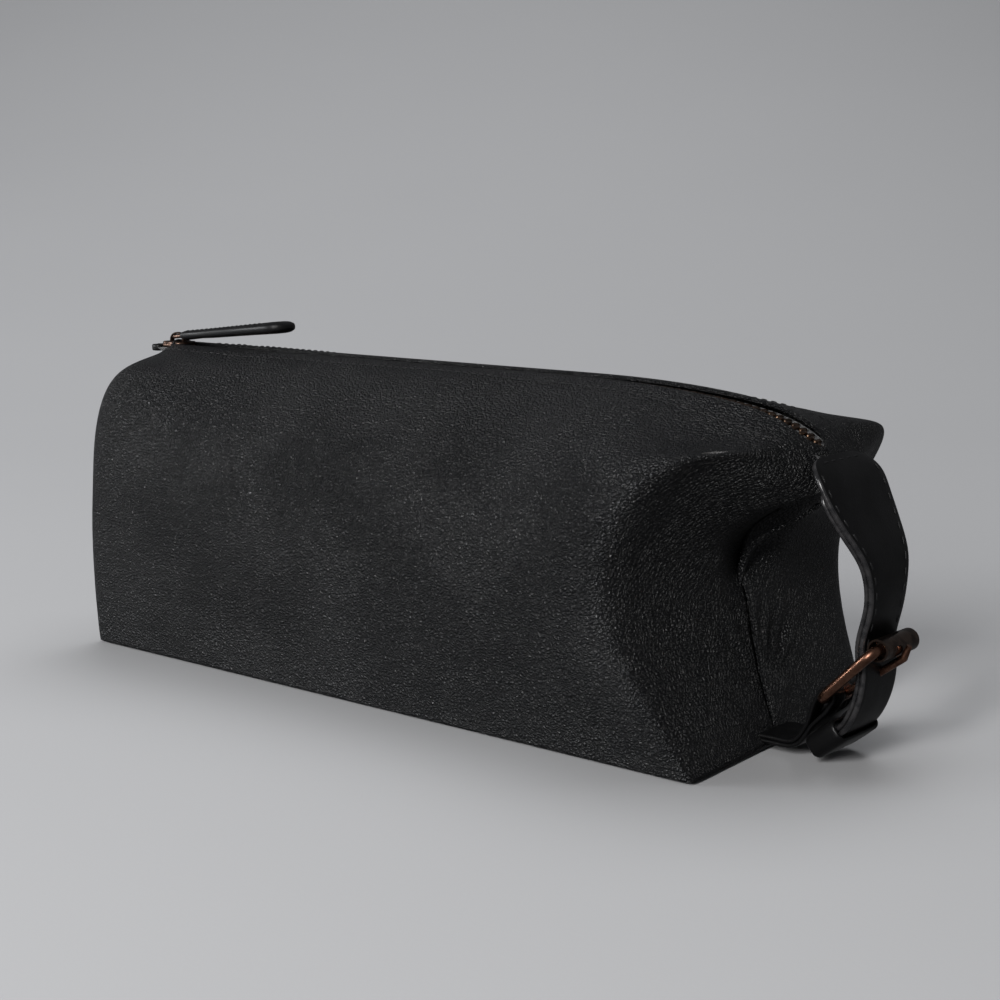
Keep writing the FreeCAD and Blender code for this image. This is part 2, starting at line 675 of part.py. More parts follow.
def buckle_prong():
    """The prong: an eye round the heel bar, a shank through the strap, a tip on the roller."""
    along, length = buckle_axis()
    outward = Vector(along.z, 0, -along.x)
    half, eye_wall = 2.0, 1.3     # half length and wall of the eye
    eye_radius = BUCKLE_WIRE / 2 + RUNNING_CLEARANCE + eye_wall
    heel = Vector(HEEL_X, 0, HEEL_Z)
    axis = Vector(0, 1, 0)
    eye = Part.makeCylinder(eye_radius, 2 * half, heel + Vector(0, -half, 0), axis)
    clear = ROLLER_RADIUS + PRONG_RADIUS + 0.25   # the shank passes this far from the roller's axis
    root_lift = 1.2               # the shank leaves the eye this far outside its middle
    tip_reach, tip_drop = 4.2, 1.6        # the tip goes past the roller and bends back down to it
    beside = heel + along * length + outward * clear
    root = heel + outward * root_lift
    tip = heel + along * (length + tip_reach) + outward * (clear - tip_drop)
    shank = Part.makeCylinder(PRONG_RADIUS, (beside - root).Length, root, beside - root)
    hook = Part.makeCone(PRONG_RADIUS, 0.7 * PRONG_RADIUS, (tip - beside).Length, beside,
                         tip - beside)
    prong = eye.fuse(shank).fuse(Part.makeSphere(PRONG_RADIUS, beside)).fuse(hook)
    bore = Part.makeCylinder(BUCKLE_WIRE / 2 + RUNNING_CLEARANCE, 4 * half,
                             heel + Vector(0, -2 * half, 0), axis)
    return prong.cut(bore).removeSplitter()


KEEPER_Z = 6.5                # height where the keeper's middle crosses the strap
KEEPER_BAND = 12.0            # width of the keeper's leather along the strap
KEEPER_WALL = 1.4
TAB_ROOT_X = 144.6            # the tab bends here, from the buckle's slant to the bag's foot
TAB_ROOT_Z = 5.4
TAB_FOOT_X = 132.0            # its sewn end, at the foot of the bag's end
TAB_FOOT_Z = 2.0


def buckle_tab():
    """The leather tab folded round the heel bar and sewn to the foot of the bag's end."""
    inner = BUCKLE_WIRE / 2 + RUNNING_CLEARANCE
    outer = inner + TAB_LEATHER
    heel = Vector(HEEL_X, 0, HEEL_Z)
    back = Vector(TAB_ROOT_X - HEEL_X, 0, TAB_ROOT_Z - HEEL_Z)
    length = back.Length
    axis = Vector(0, 1, 0)
    start = heel + Vector(0, -TAB_HALF_WIDTH, 0)
    fold = Part.makeCylinder(outer, 2 * TAB_HALF_WIDTH, start, axis)
    double = 2 * TAB_LEATHER + 0.4        # two plies and the glue between them
    plies = Part.makeBox(length, 2 * TAB_HALF_WIDTH, double,
                         Vector(-length, -TAB_HALF_WIDTH, -double / 2))
    plies.rotate(Vector(0, 0, 0), axis, -math.degrees(math.atan2(-back.z, -back.x)))
    plies.translate(heel)
    foot_overlap = 1.0            # the foot runs this far under the bend
    foot = Part.makeBox(TAB_ROOT_X + foot_overlap - TAB_FOOT_X, 2 * TAB_HALF_WIDTH, double,
                        Vector(TAB_FOOT_X, -TAB_HALF_WIDTH, TAB_FOOT_Z))
    bore = Part.makeCylinder(inner, 2 * TAB_HALF_WIDTH, start, axis)
    slot_half, slot_back = 2.5, 6.5       # the slot for the prong's eye, cut through the fold
    slot_length, slot_height = 14.0, 12.0
    slot = Part.makeBox(slot_length, 2 * slot_half, slot_height,
                        Vector(-slot_back, -slot_half, -slot_height / 2))
    slot.translate(heel)
    return fold.fuse(plies).fuse(foot).cut(bore).cut(slot).removeSplitter()


def keeper_loop():
    """The fixed loop in front of the buckle's tab that holds the strap's tail."""
    point, tangent = strap_place(KEEPER_Z)
    band, wall, slack = KEEPER_BAND, KEEPER_WALL, 0.5
    below, above = 0.5, 4.2       # inner face of the loop outside and inside the strap's outer face
    corner = 2.0
    half_y = STRAP_WIDTH / 2 + slack
    outer = Part.makeBox(above + below + 2 * wall, 2 * (half_y + wall), band,
                         Vector(-above - wall, -half_y - wall, -band / 2))
    across = [edge for edge in outer.Edges if edge.BoundBox.ZLength > 0.9 * band]
    outer = outer.makeFillet(corner, across)
    hole = Part.makeBox(above + below, 2 * half_y, 2 * band, Vector(-above, -half_y, -band))
    loop = outer.cut(hole)
    loop.rotate(Vector(0, 0, 0), Vector(0, 1, 0),
                math.degrees(math.atan2(-tangent.x, -tangent.z)))
    loop.translate(point)
    return loop


# ---------------------------------------------------------------- assembly

def hide_nodes():
    nodes = {}
    for side, half in HALVES.items():
        pieces = {"wall": lower_wall(half, 0, HIDE), "lip": lip(half, 0, HIDE, EDGE_V),
                  "lining": lower_wall(half, HIDE + PLY_GAP, LINING),
                  "lip_lining": lip(half, HIDE + PLY_GAP, LINING, LINING_TOP_V)}
        for end, name in enumerate(("left", "right")):
            pieces["wing_" + name] = wing(half, end, 0, HIDE)
            pieces["end_fold_" + name] = end_fold(half, end, 0, HIDE)
        for name, shape in pieces.items():
            nodes[side + "_" + name] = shape if side == "front" else to_back(shape)
    nodes["end_seam_left"] = end_seam(0)
    nodes["end_seam_right"] = end_seam(1)
    nodes["end_cap_left"] = end_cap(0)
    nodes["end_cap_right"] = end_cap(1)
    board_low = HIDE + PLY_GAP
    lining_low = board_low + BOARD + PLY_GAP
    nodes["base_panel"] = base_slab(PANEL_INSET, PANEL_INSET, 0.0, HIDE, corner=3.0)
    nodes["base_board"] = base_slab(BOARD_END_INSET, BOARD_SIDE_INSET, board_low, BOARD, corner=4.0)
    nodes["base_lining"] = base_slab(BOARD_END_INSET, BASE_LINING_INSET, lining_low, LINING, corner=4.0)
    return nodes


def zip_nodes():
    mouth = (MOUTH_START_X + SEAM_GAP / 2, MOUTH_END_X - SEAM_GAP / 2)
    left = (ZIP_START_X, MOUTH_START_X - SEAM_GAP / 2)
    right = (MOUTH_END_X + SEAM_GAP / 2, ZIP_END_X)
    nodes = {}
    for side, name in ((-1, "front"), (1, "back")):
        for place, span in (("mouth", mouth), ("left", left), ("right", right)):
            strip = tape(span[0], span[1], TAPE_INNER_Y, TAPE_OUTER_Y)
            nodes["%s_tape_%s" % (name, place)] = strip if side < 0 else to_back(strip)
            nodes["%s_teeth_%s" % (name, place)] = teeth(span[0], span[1], side)
    nodes["zip_end_tab"] = zip_end_tab()
    nodes["zip_slider"] = slider()
    nodes["zip_pull_link"] = pull_link()
    nodes["zip_pull_tab"] = pull_tab()
    return nodes


BACKING_START, BACKING_TRIM = 0.10, 0.4   # the inner ply starts below the head and is narrower


def handle_nodes():
    backing_depth = STRAP_OUTER + PLY_SEAM
    return {
        "handle_strap": strap(0.0, 0.0, STRAP_OUTER, 0.0),
        "handle_strap_backing": strap(BACKING_START, backing_depth, STRAP_INNER, BACKING_TRIM),
        "buckle_frame": buckle_frame(),
        "buckle_roller": buckle_roller(),
        "buckle_prong": buckle_prong(),
        "buckle_tab": buckle_tab(),
        "keeper_loop": keeper_loop(),
    }


def all_nodes():
    nodes = {}
    nodes.update(hide_nodes())
    nodes.update(zip_nodes())
    nodes.update(handle_nodes())
    return nodes


def main():
    os.makedirs("parts", exist_ok=True)
    nodes = all_nodes()
    for name, shape in sorted(nodes.items()):
        shape.exportStep("parts/%s.step" % name)
        box = shape.BoundBox
        print("%-22s valid=%s volume=%9.1f  X %7.1f..%7.1f  Y %6.1f..%6.1f  Z %6.1f..%6.1f" % (
            name, shape.isValid(), shape.Volume, box.XMin, box.XMax, box.YMin, box.YMax,
            box.ZMin, box.ZMax))


main()
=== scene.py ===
import math

import bmesh
import bpy
import numpy as np
from mathutils import Matrix, Vector


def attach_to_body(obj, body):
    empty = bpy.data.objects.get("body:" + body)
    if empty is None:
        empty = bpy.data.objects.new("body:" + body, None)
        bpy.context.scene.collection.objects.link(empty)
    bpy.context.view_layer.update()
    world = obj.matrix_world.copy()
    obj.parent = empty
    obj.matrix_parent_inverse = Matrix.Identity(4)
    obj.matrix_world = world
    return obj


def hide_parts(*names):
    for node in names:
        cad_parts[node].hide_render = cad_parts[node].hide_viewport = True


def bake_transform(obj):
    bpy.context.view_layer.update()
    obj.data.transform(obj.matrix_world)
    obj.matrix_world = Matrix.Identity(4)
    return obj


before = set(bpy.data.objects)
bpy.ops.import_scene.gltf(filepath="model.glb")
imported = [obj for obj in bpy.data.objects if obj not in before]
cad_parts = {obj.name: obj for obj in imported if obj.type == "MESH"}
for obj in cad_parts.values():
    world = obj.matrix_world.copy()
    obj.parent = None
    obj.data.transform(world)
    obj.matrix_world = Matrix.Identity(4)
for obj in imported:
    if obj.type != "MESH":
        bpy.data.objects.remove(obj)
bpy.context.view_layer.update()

MM = 0.001
RNG = np.random.default_rng(41)

# ---------------------------------------------------------------- the bag's outer surface, in mm
# The CAD source's control net, but for the front right ear, 2 and 6 mm lower at levels 4 and 5.
# Level = wall (y, z), then (left, front right, back right) triples of ear y, ear z, ear x and
# corner length, then (left, right) pairs of seam x and seam z.

LEVELS = [
    ((54.0, 0.0), (54, 54, 54), (0, 0, 0), (147, 135, 135), (5, 5, 5), (142, 132), (0, 0)),
    ((56.0, 14.0), (56, 56, 56), (15, 15, 14), (151, 127, 133), (14, 16, 15), (136, 126), (15, 15)),
    ((58.5, 46.0), (58, 60.5, 58), (48, 44, 46), (150, 103, 119), (26, 24, 28), (127, 118), (44, 44)),
    ((56.0, 77.0), (58, 59.5, 58), (86, 79, 75), (146, 109, 127), (26, 26, 28), (131, 121), (76, 66)),
    ((39.0, 99.0), (54, 50, 55), (108, 101, 102), (139, 127, 148), (20, 26, 24), (144, 150), (98, 76)),
    ((21.0, 111.0), (30, 30, 32), (111, 96, 103), (143, 139, 144), (16, 22, 22), (153, 152), (105, 86)),
    ((6.5, 0.0), (6.5, 6.5, 6.5), (0, 0, 0), (150, 141, 139), (14, 14, 14), (158, 147), (0, 0)),
]
WALL_COLUMNS = (-86, -46, 0, 42, 80)
WALL_REACH = ((142, 130), (135, 122), (126, 98), (125, 101), (126, 114), (131, 118), (136, 125))
ZIP_EDGE_Y = 6.5
ZIP_BEND_X, ZIP_END_X, ZIP_END_DROP, ZIP_END_CURVE, ZIP_HEIGHT = 96.0, 148.0, 18.3, 2.6, 114.0
ZIP_START_X = -163.0
CHAIN_DROP = 2.2
LAST_U, LAST_V = 12.0, 4.0
LINING_TOP_V, TOPSTITCH_V = 3.66, 3.87
HIDE, LINING_DEPTH, LINING = 1.6, 1.85, 0.5


def zip_line(x):
    """Height of the control points of the leather edge beside the zip."""
    t = np.clip((np.asarray(x, float) - ZIP_BEND_X) / (ZIP_END_X - ZIP_BEND_X), 0, None)
    return ZIP_HEIGHT - ZIP_END_DROP * t ** ZIP_END_CURVE


def ear_columns(k, ear):
    """Control points of an ear at level k, from the seam to the wall (0 left, 1 front, 2 back)."""
    end = min(ear, 1)
    side = (-1, 1)[end]
    _, ear_y, ear_z, ear_x, corners, seam_xs, seam_zs = LEVELS[k]
    y, z, x, corner = ear_y[ear], ear_z[ear], ear_x[ear], corners[ear]
    seam_x, seam_z = seam_xs[end], seam_zs[end]
    if k == len(LEVELS) - 1:
        places = [(seam_x, 0), (seam_x - 1.5, -0.5 * y), (seam_x - 4, -y), (x, -y), (x - corner, -y)]
        return [(side * px, py, float(zip_line(side * px))) for px, py in places]
    near_y = max(y - corner, 0.72 * y)
    return [(side * seam_x, 0, seam_z),
            (side * (seam_x + 0.30 * (x - seam_x)), -0.36 * y, seam_z + 0.35 * (z - seam_z)),
            (side * x, -near_y, z), (side * x, -y, z), (side * (x - corner), -y, z)]


def wall_point(k, x):
    (wall_y, wall_z), ear_y, ear_z = LEVELS[k][:3]
    if k == len(LEVELS) - 1:
        return (x, -ZIP_EDGE_Y, float(zip_line(x)))
    end, ear = (0, 0) if x < 0 else (1, 2)
    share = 0.6 * (abs(x) / WALL_REACH[k][end]) ** 3
    return (x, -(wall_y + share * (ear_y[ear] - wall_y)), wall_z + share * (ear_z[ear] - wall_z))


def control_net(right_ear):
    rows = [ear_columns(k, 0) + [wall_point(k, x) for x in WALL_COLUMNS] + ear_columns(k, right_ear)[::-1]
            for k in range(len(LEVELS))]
    return np.array(rows, float).transpose(1, 0, 2)


def basis(count, t):
    """Values of the clamped uniform cubic B-spline's blending functions at the parameters t."""
    spans = count - 3
    knots = np.concatenate([[0.0] * 3, np.arange(spans + 1.0), [float(spans)] * 3])
    t = np.clip(np.asarray(t, float), 0, spans - 1e-9)[:, None]
    b = ((knots[:-1] <= t) & (t < knots[1:])).astype(float)
    for d in (1, 2, 3):
        n = b.shape[1] - 1
        lo, hi = knots[d:d + n] - knots[:n], knots[d + 1:d + 1 + n] - knots[1:1 + n]
        left = np.where(lo > 0, (t - knots[:n]) / np.where(lo > 0, lo, 1), 0) * b[:, :-1]
        right = np.where(hi > 0, (knots[d + 1:d + 1 + n] - t) / np.where(hi > 0, hi, 1), 0) * b[:, 1:]
        b = left + right
    return b


NETS = {True: control_net(1), False: control_net(2)}     # by whether it is the near (front) half
HALF_NAMES = {True: "front", False: "back"}


def surface(us, vs, near=True):
    net = NETS[near]
    return np.einsum("ui,vj,ijc->uvc", basis(net.shape[0], us), basis(net.shape[1], vs), net)


def normals(us, vs, near=True):
    """Outward unit normals of a half, drawn on the front side."""
    e = 1e-3
    du = surface(us + e, vs, near) - surface(us - e, vs, near)
    dv = surface(us, vs + e, near) - surface(us, vs - e, near)
    n = np.cross(du, dv)
    return n / np.maximum(np.linalg.norm(n, axis=2, keepdims=True), 1e-9)


EDGE_X, _, EDGE_Z = surface(np.linspace(0, LAST_U, 3000), np.array([LAST_V]))[:, 0].T


def edge_height(x):
    """Height of the leather edge beside the zip, held level past its left end and carried straight on past
    its right end.
    """
    x = np.asarray(x, float)
    past = np.maximum(x - 145.5, 0)
    last = np.interp(145.5, EDGE_X, EDGE_Z)
    return np.interp(np.minimum(x, 145.5), EDGE_X, EDGE_Z) + past * (last - np.interp(144.5, EDGE_X, EDGE_Z))


def zip_slope(x):
    return edge_height(x + 0.5) - edge_height(x - 0.5)


def arc_lengths(points):
    """Length along a line of points, at each of them."""
    return np.concatenate([[0], np.cumsum(np.linalg.norm(np.diff(points, axis=0), axis=1))])


def even(points, step):
    """Parameters, on a 0..1 scale of the given dense line of points, at about equal steps."""
    length = arc_lengths(points)
    count = int(length[-1] / step)
    return np.interp(np.linspace(0, length[-1], count + 1), length, np.linspace(0, 1, len(points)))


# ---------------------------------------------------------------- soft noise

def waves(seed, count, size):
    """A smooth random field with features of about this size in mm."""
    rng = np.random.default_rng(seed)
    k = rng.normal(size=(count, 3))
    k *= (2 * math.pi / (size * rng.uniform(0.7, 1.6, count)) / np.linalg.norm(k, axis=1))[:, None]
    phase = rng.uniform(0, 2 * math.pi, count)
    return lambda p: np.sin(p @ k.T + phase).sum(axis=-1) / math.sqrt(count)


def smooth(t):
    t = np.clip(t, 0, 1)
    return t * t * (3 - 2 * t)


def squarish(value, power):
    """A sine or cosine bent towards a superellipse: the smaller the power, the boxier."""
    return math.copysign(abs(value) ** power, value)


def circle(count):
    """Cosine and sine at even steps round a circle."""
    return [(math.cos(2 * math.pi * k / count), math.sin(2 * math.pi * k / count)) for k in range(count)]


def unit(vector):
    return vector / np.linalg.norm(vector)


def mirrored(near, *grids):
    """Grids of points drawn for the front half, turned over when they belong to the back one."""
    return [grid if near else grid * [1, -1, 1] for grid in grids]


# ---------------------------------------------------------------- mesh helpers

def mesh_object(name, verts, faces, material):
    mesh = bpy.data.meshes.new(name)
    mesh.from_pydata([tuple(v) for v in verts], [], faces)
    mesh.validate()
    mesh.materials.append(material)
    mesh.polygons.foreach_set("use_smooth", [True] * len(mesh.polygons))
    obj = bpy.data.objects.new(name, mesh)
    bpy.context.scene.collection.objects.link(obj)
    return obj


def grid_faces(rows, cols, offset=0, flip=False, wrap=False):
    """Quads of a grid whose vertex (i, j) is offset + i * cols + j; wrap joins the last column on."""
    faces = []
    last = cols if wrap else cols - 1
    for i in range(rows - 1):
        for j in range(last):
            k = (j + 1) % cols
            q = (offset + i * cols + j, offset + (i + 1) * cols + j,
                 offset + (i + 1) * cols + k, offset + i * cols + k)
            faces.append(q[::-1] if flip else q)
    return faces


def thick_grid(name, top, bottom, material, flip=False):
    """A closed piece between two grids of points of the same size, given in mm."""
    rows, cols = top.shape[:2]
    n = rows * cols
    verts = np.concatenate([top.reshape(-1, 3), bottom.reshape(-1, 3)]) * MM
    faces = grid_faces(rows, cols, 0, flip) + grid_faces(rows, cols, n, not flip)
    rim = ([i * cols for i in range(rows)] + [(rows - 1) * cols + j for j in range(1, cols)]
           + [i * cols + cols - 1 for i in range(rows - 2, -1, -1)] + list(range(cols - 2, 0, -1)))
    for a, b in zip(rim, rim[1:] + rim[:1]):
        q = (a, a + n, b + n, b)
        faces.append(q if flip else q[::-1])
    obj = mesh_object(name, verts, faces, material)
    outward(obj)
    return obj


def loft(name, sections, material, closed=False):
    """Skin a list of closed cross-sections (each a list of points, in mm) and cap both ends."""
    sections = np.asarray(sections, float)
    rows, cols = sections.shape[:2]
    verts = [tuple(v) for v in sections.reshape(-1, 3) * MM]
    faces = grid_faces(rows, cols, 0, False, True)
    if closed:
        for j in range(cols):
            k = (j + 1) % cols
            faces.append(((rows - 1) * cols + j, j, k, (rows - 1) * cols + k))
    else:
        for i, turn in ((0, False), (rows - 1, True)):
            verts.append(tuple(sections[i].mean(axis=0) * MM))
            centre = len(verts) - 1
            for j in range(cols):
                a, b = i * cols + j, i * cols + (j + 1) % cols
                faces.append((centre, b, a) if turn else (centre, a, b))
    obj = mesh_object(name, verts, faces, material)
    outward(obj)
    return obj


def bmesh_object(name, bm, *materials):
    """An object from a bmesh, which is freed."""
    mesh = bpy.data.meshes.new(name)
    bm.to_mesh(mesh)
    bm.free()
    for m in materials:
        mesh.materials.append(m)
    obj = bpy.data.objects.new(name, mesh)
    bpy.context.scene.collection.objects.link(obj)
    return obj


def outward(obj):
    bm = bmesh.new()
    bm.from_mesh(obj.data)
    bmesh.ops.recalc_face_normals(bm, faces=bm.faces)
    bm.to_mesh(obj.data)
    bm.free()


def apply_modifiers(obj):
    depsgraph = bpy.context.evaluated_depsgraph_get()
    mesh = bpy.data.meshes.new_from_object(obj.evaluated_get(depsgraph))
    old = obj.data
    obj.modifiers.clear()
    obj.data = mesh
    bpy.data.meshes.remove(old)


def shade(obj):
    obj.data.polygons.foreach_set("use_smooth", [True] * len(obj.data.polygons))


def join(name, objects):
    """One object from several, keeping their materials."""
    bm = bmesh.new()
    materials = []
    for o in objects:
        start = len(bm.faces)
        bm.from_mesh(o.data)
        bm.faces.ensure_lookup_table()
        slots = []
        for m in o.data.materials:
            if m not in materials:
                materials.append(m)
            slots.append(materials.index(m))
        for f in bm.faces[start:]:
            f.material_index = slots[f.material_index]
        bpy.data.objects.remove(o)
    return bmesh_object(name, bm, *materials)


def attach(obj, body, slot, *replaced):
    """A rigid piece: the body it rides on and the CAD nodes it stands for; its material slot is not used."""
    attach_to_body(obj, body)
    if replaced:
        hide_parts(*replaced)


# ---------------------------------------------------------------- materials

class Nodes:
    """A short way to write a node material."""

    def __init__(self, name, scale_vector=(1, 1, 1)):
        self.material = bpy.data.materials.new(name)
        self.material.use_nodes = True
        self.tree = self.material.node_tree
        self.shader = self.tree.nodes["Principled BSDF"]
        coords = self.tree.nodes.new("ShaderNodeTexCoord")
        mapping = self.node("ShaderNodeMapping", {"Vector": coords.outputs["Object"], "Scale": scale_vector})
        self.place = mapping.outputs["Vector"]

    def link(self, a, b):
        self.tree.links.new(a, b)

    def node(self, kind, sockets, **settings):
        """A new node; each of its sockets gets a constant or a link from another node."""
        n = self.tree.nodes.new(kind)
        for key, value in settings.items():
            setattr(n, key, value)
        for key, value in sockets.items():
            if hasattr(value, "is_linked"):
                self.link(value, n.inputs[key])
            else:
                n.inputs[key].default_value = value
        return n

    def noise_node(self, scale, detail=2.0, roughness=0.5, vector=None, distortion=0.0):
        return self.node("ShaderNodeTexNoise", {"Scale": scale, "Detail": detail, "Roughness": roughness,
                                                "Distortion": distortion, "Vector": vector or self.place})

    def noise(self, *settings):
        return self.noise_node(*settings).outputs["Fac"]

    def voronoi(self, scale, feature="DISTANCE_TO_EDGE", vector=None):
        sockets = {"Scale": scale, "Vector": vector or self.place}
        return self.node("ShaderNodeTexVoronoi", sockets, feature=feature).outputs["Distance"]

    def wave(self, scale, direction, distortion, detail_scale):
        sockets = {"Scale": scale, "Distortion": distortion, "Detail Scale": detail_scale,
                   "Vector": self.place}
        return self.node("ShaderNodeTexWave", sockets, bands_direction=direction).outputs["Fac"]

    def math(self, operation, a, b=0.0, clamp=False):
        return self.node("ShaderNodeMath", {0: a, 1: b}, operation=operation, use_clamp=clamp).outputs[0]

    def plus(self, a, b, share):
        """a + share * b"""
        return self.math("ADD", a, self.math("MULTIPLY", b, share))

    def remap(self, value, low, high, to_low=0.0, to_high=1.0, smooth_step=True):
        sockets = {"Value": value, "From Min": low, "From Max": high, "To Min": to_low, "To Max": to_high}
        kind = "SMOOTHSTEP" if smooth_step else "LINEAR"
        return self.node("ShaderNodeMapRange", sockets, interpolation_type=kind).outputs["Result"]

    def mix(self, factor, a, b):
        return self.node("ShaderNodeMix", {"Factor": factor, 6: a, 7: b}, data_type="RGBA").outputs[2]

    def warp(self, scale, amount):
        """The place, pushed about by a colour noise."""
        color = self.noise_node(scale, 2.0).outputs["Color"]
        centred = self.node("ShaderNodeVectorMath", {0: color, 1: (0.5, 0.5, 0.5)}, operation="SUBTRACT")
        sockets = {0: centred.outputs[0], 1: (amount, amount, amount), 2: self.place}
        return self.node("ShaderNodeVectorMath", sockets, operation="MULTIPLY_ADD").outputs[0]

    def bump(self, height, strength, distance):
        sockets = {"Strength": strength, "Distance": distance, "Height": height}
        return self.node("ShaderNodeBump", sockets).outputs["Normal"]

    def finish(self, color, roughness, normal, **constants):
        self.link(color, self.shader.inputs["Base Color"])
        self.link(roughness, self.shader.inputs["Roughness"])
        self.link(normal, self.shader.inputs["Normal"])
        for key, value in constants.items():
            self.shader.inputs[key.replace("_", " ")].default_value = value
        return self.material


def rgb(r, g, b):
    return (r, g, b, 1.0)


def pebbled_leather():
    """Full-grain hide: domed pebbles of about 1.5 mm, a finer grain over them and creases between, with
    painted shade in the grooves.
    """
    m = Nodes("pebbled_leather", (1.0, 1.0, 1.2))
    place = m.warp(150, 0.0022)
    big = m.math("POWER", m.math("MULTIPLY", m.voronoi(680, vector=place), 2.0, True), 0.55)
    small = m.math("POWER", m.math("MULTIPLY", m.voronoi(1250, vector=m.warp(420, 0.0008)), 2.0, True), 0.6)
    fine = m.noise(2600, 3.0)
    lumps = m.noise(260, 2.0)
    patch = m.remap(m.noise(20, 2.0), 0.36, 0.64)
    grain = m.plus(m.math("MULTIPLY", big, 0.62), small, 0.24)
    grain = m.plus(grain, fine, 0.08)
    height = m.plus(grain, lumps, 0.5)
    depth = m.math("MULTIPLY", height, m.remap(patch, 0, 1, 0.7, 1.0))
    normal = m.bump(depth, 1.0, 0.0012)
    wear = m.remap(m.noise(9, 3.0), 0.35, 0.7)
    # painted shade: the colour darkens from the pebble tops down into the grooves between them
    groove_shade_tone = m.mix(wear, rgb(0.0018, 0.0019, 0.0023), rgb(0.0030, 0.0031, 0.0037))
    pebble_top_tone = m.mix(wear, rgb(0.0055, 0.0057, 0.0068), rgb(0.0075, 0.0078, 0.0093))
    color = m.mix(m.remap(grain, 0.30, 0.85), groove_shade_tone, pebble_top_tone)
    rough = m.remap(grain, 0.35, 0.9, 0.42, 0.20)
    return m.finish(color, rough, normal, Specular_IOR_Level=0.40)


def smooth_leather(name, tone, roughness):
    """Firm strap leather: almost smooth, with pores, faint streaks along it and a dressed surface."""
    m = Nodes(name)
    pores = m.remap(m.voronoi(1500, "F1", m.warp(600, 0.0006)), 0.0, 0.5)
    streak = m.noise(60, 4.0, 0.6)
    fine = m.noise(1700, 3.0)
    height = m.plus(m.math("MULTIPLY", pores, 0.35), fine, 0.4)
    height = m.plus(height, streak, 0.8)
    color = m.mix(m.remap(streak, 0.3, 0.7), rgb(tone * 0.75, tone * 0.75, tone * 0.82),
                  rgb(tone * 1.3, tone * 1.3, tone * 1.42))
    rough = m.remap(streak, 0.3, 0.7, roughness + 0.07, roughness - 0.05)
    return m.finish(color, rough, m.bump(height, 0.32, 0.0003), Specular_IOR_Level=0.20,
                    Coat_Weight=0.02, Coat_Roughness=0.32)


def edge_paint():
    """Burnished and painted leather edge: glossy, slightly uneven."""
    m = Nodes("edge_paint")
    lumps = m.noise(420, 2.0)
    layers = m.noise(2500, 2.0)
    height = m.plus(lumps, layers, 0.3)
    color = m.mix(m.remap(lumps, 0.3, 0.7), rgb(0.009, 0.009, 0.010), rgb(0.022, 0.021, 0.022))
    return m.finish(color, m.remap(lumps, 0.3, 0.7, 0.24, 0.36), m.bump(height, 0.3, 0.0002),
                    Specular_IOR_Level=0.55, Coat_Weight=0.35, Coat_Roughness=0.2)


def woven(name, tone, pitch, diagonal):
    """Plain or herringbone cloth; pitch is threads per metre."""
    m = Nodes(name)
    a = m.wave(pitch, "X", 0.6, 2.0)
    b = m.wave(pitch, "DIAGONAL" if diagonal else "Y", 0.6, 2.0)
    weave = m.math("MULTIPLY", a, b)
    fuzz = m.noise(3200, 3.0)
    height = m.plus(weave, fuzz, 0.35)
    color = m.mix(weave, rgb(*(c * 0.55 for c in tone)), rgb(*(c * 1.35 for c in tone)))
    return m.finish(color, m.remap(fuzz, 0.3, 0.7, 0.78, 0.92), m.bump(height, 0.6, 0.00025),
                    Specular_IOR_Level=0.25, Sheen_Weight=0.25, Sheen_Roughness=0.5)


def metal(name, bright, dull, roughness):
    """Antiqued brass: dark patina in patches, fine scratches, brighter where it is rubbed."""
    m = Nodes(name)
    patina = m.remap(m.noise(230, 4.0, 0.65), 0.38, 0.62)
    speck = m.noise(1500, 3.0, 0.7)
    lines = m.noise(420, 3.0, 0.5, m.warp(90, 0.002), 1.5)
    color = m.mix(patina, rgb(*dull), rgb(*bright))
    color = m.mix(m.remap(speck, 0.58, 0.78), color, rgb(*(0.35 * c for c in dull)))
    height = m.plus(m.math("MULTIPLY", speck, 0.6), lines, 0.5)
    rough = m.remap(patina, 0, 1, roughness + 0.14, roughness - 0.04)
    return m.finish(color, rough, m.bump(height, 0.25, 0.00012), Metallic=1.0)


def thread_material():
    m = Nodes("waxed_thread")
    twist = m.wave(1400, "DIAGONAL", 0.4, 1.0)
    fuzz = m.noise(4000, 2.0)
    height = m.plus(twist, fuzz, 0.4)
    color = m.mix(twist, rgb(0.004, 0.004, 0.0045), rgb(0.012, 0.012, 0.013))
    return m.finish(color, m.remap(fuzz, 0.3, 0.7, 0.45, 0.65), m.bump(height, 0.5, 0.0001),
                    Specular_IOR_Level=0.3)


def fibre_board():
    m = Nodes("fibre_board")
    fibre = m.noise(900, 5.0, 0.7)
    color = m.mix(fibre, rgb(0.07, 0.062, 0.055), rgb(0.15, 0.13, 0.115))
    return m.finish(color, m.remap(fibre, 0.3, 0.7, 0.8, 0.95), m.bump(fibre, 0.4, 0.0003))


def floor_with_painted_shade():
    """Matte paper, with painted shade that makes it a little darker towards the handle's side."""
    m = Nodes("studio_floor")
    cloud = m.noise(3.0, 3.0)
    tooth = m.noise(900, 2.0)
    split = m.tree.nodes.new("ShaderNodeSeparateXYZ")
    m.link(m.place, split.inputs[0])
    across = m.plus(m.math("MULTIPLY", split.outputs["X"], 0.767), split.outputs["Y"], 0.642)
    lit_side_tone = m.mix(cloud, rgb(0.435, 0.438, 0.448), rgb(0.450, 0.453, 0.463))
    painted_shade_tone = m.mix(cloud, rgb(0.325, 0.327, 0.334), rgb(0.335, 0.337, 0.344))
    # painted shade: the colour darkens across the view towards the handle's side, as if the light fell off
    # there
    color = m.mix(m.remap(across, -0.9, 1.1, smooth_step=False), lit_side_tone, painted_shade_tone)
    return m.finish(color, m.remap(tooth, 0.3, 0.7, 0.86, 0.94), m.bump(tooth, 0.1, 0.0002),
                    Specular_IOR_Level=0.15)


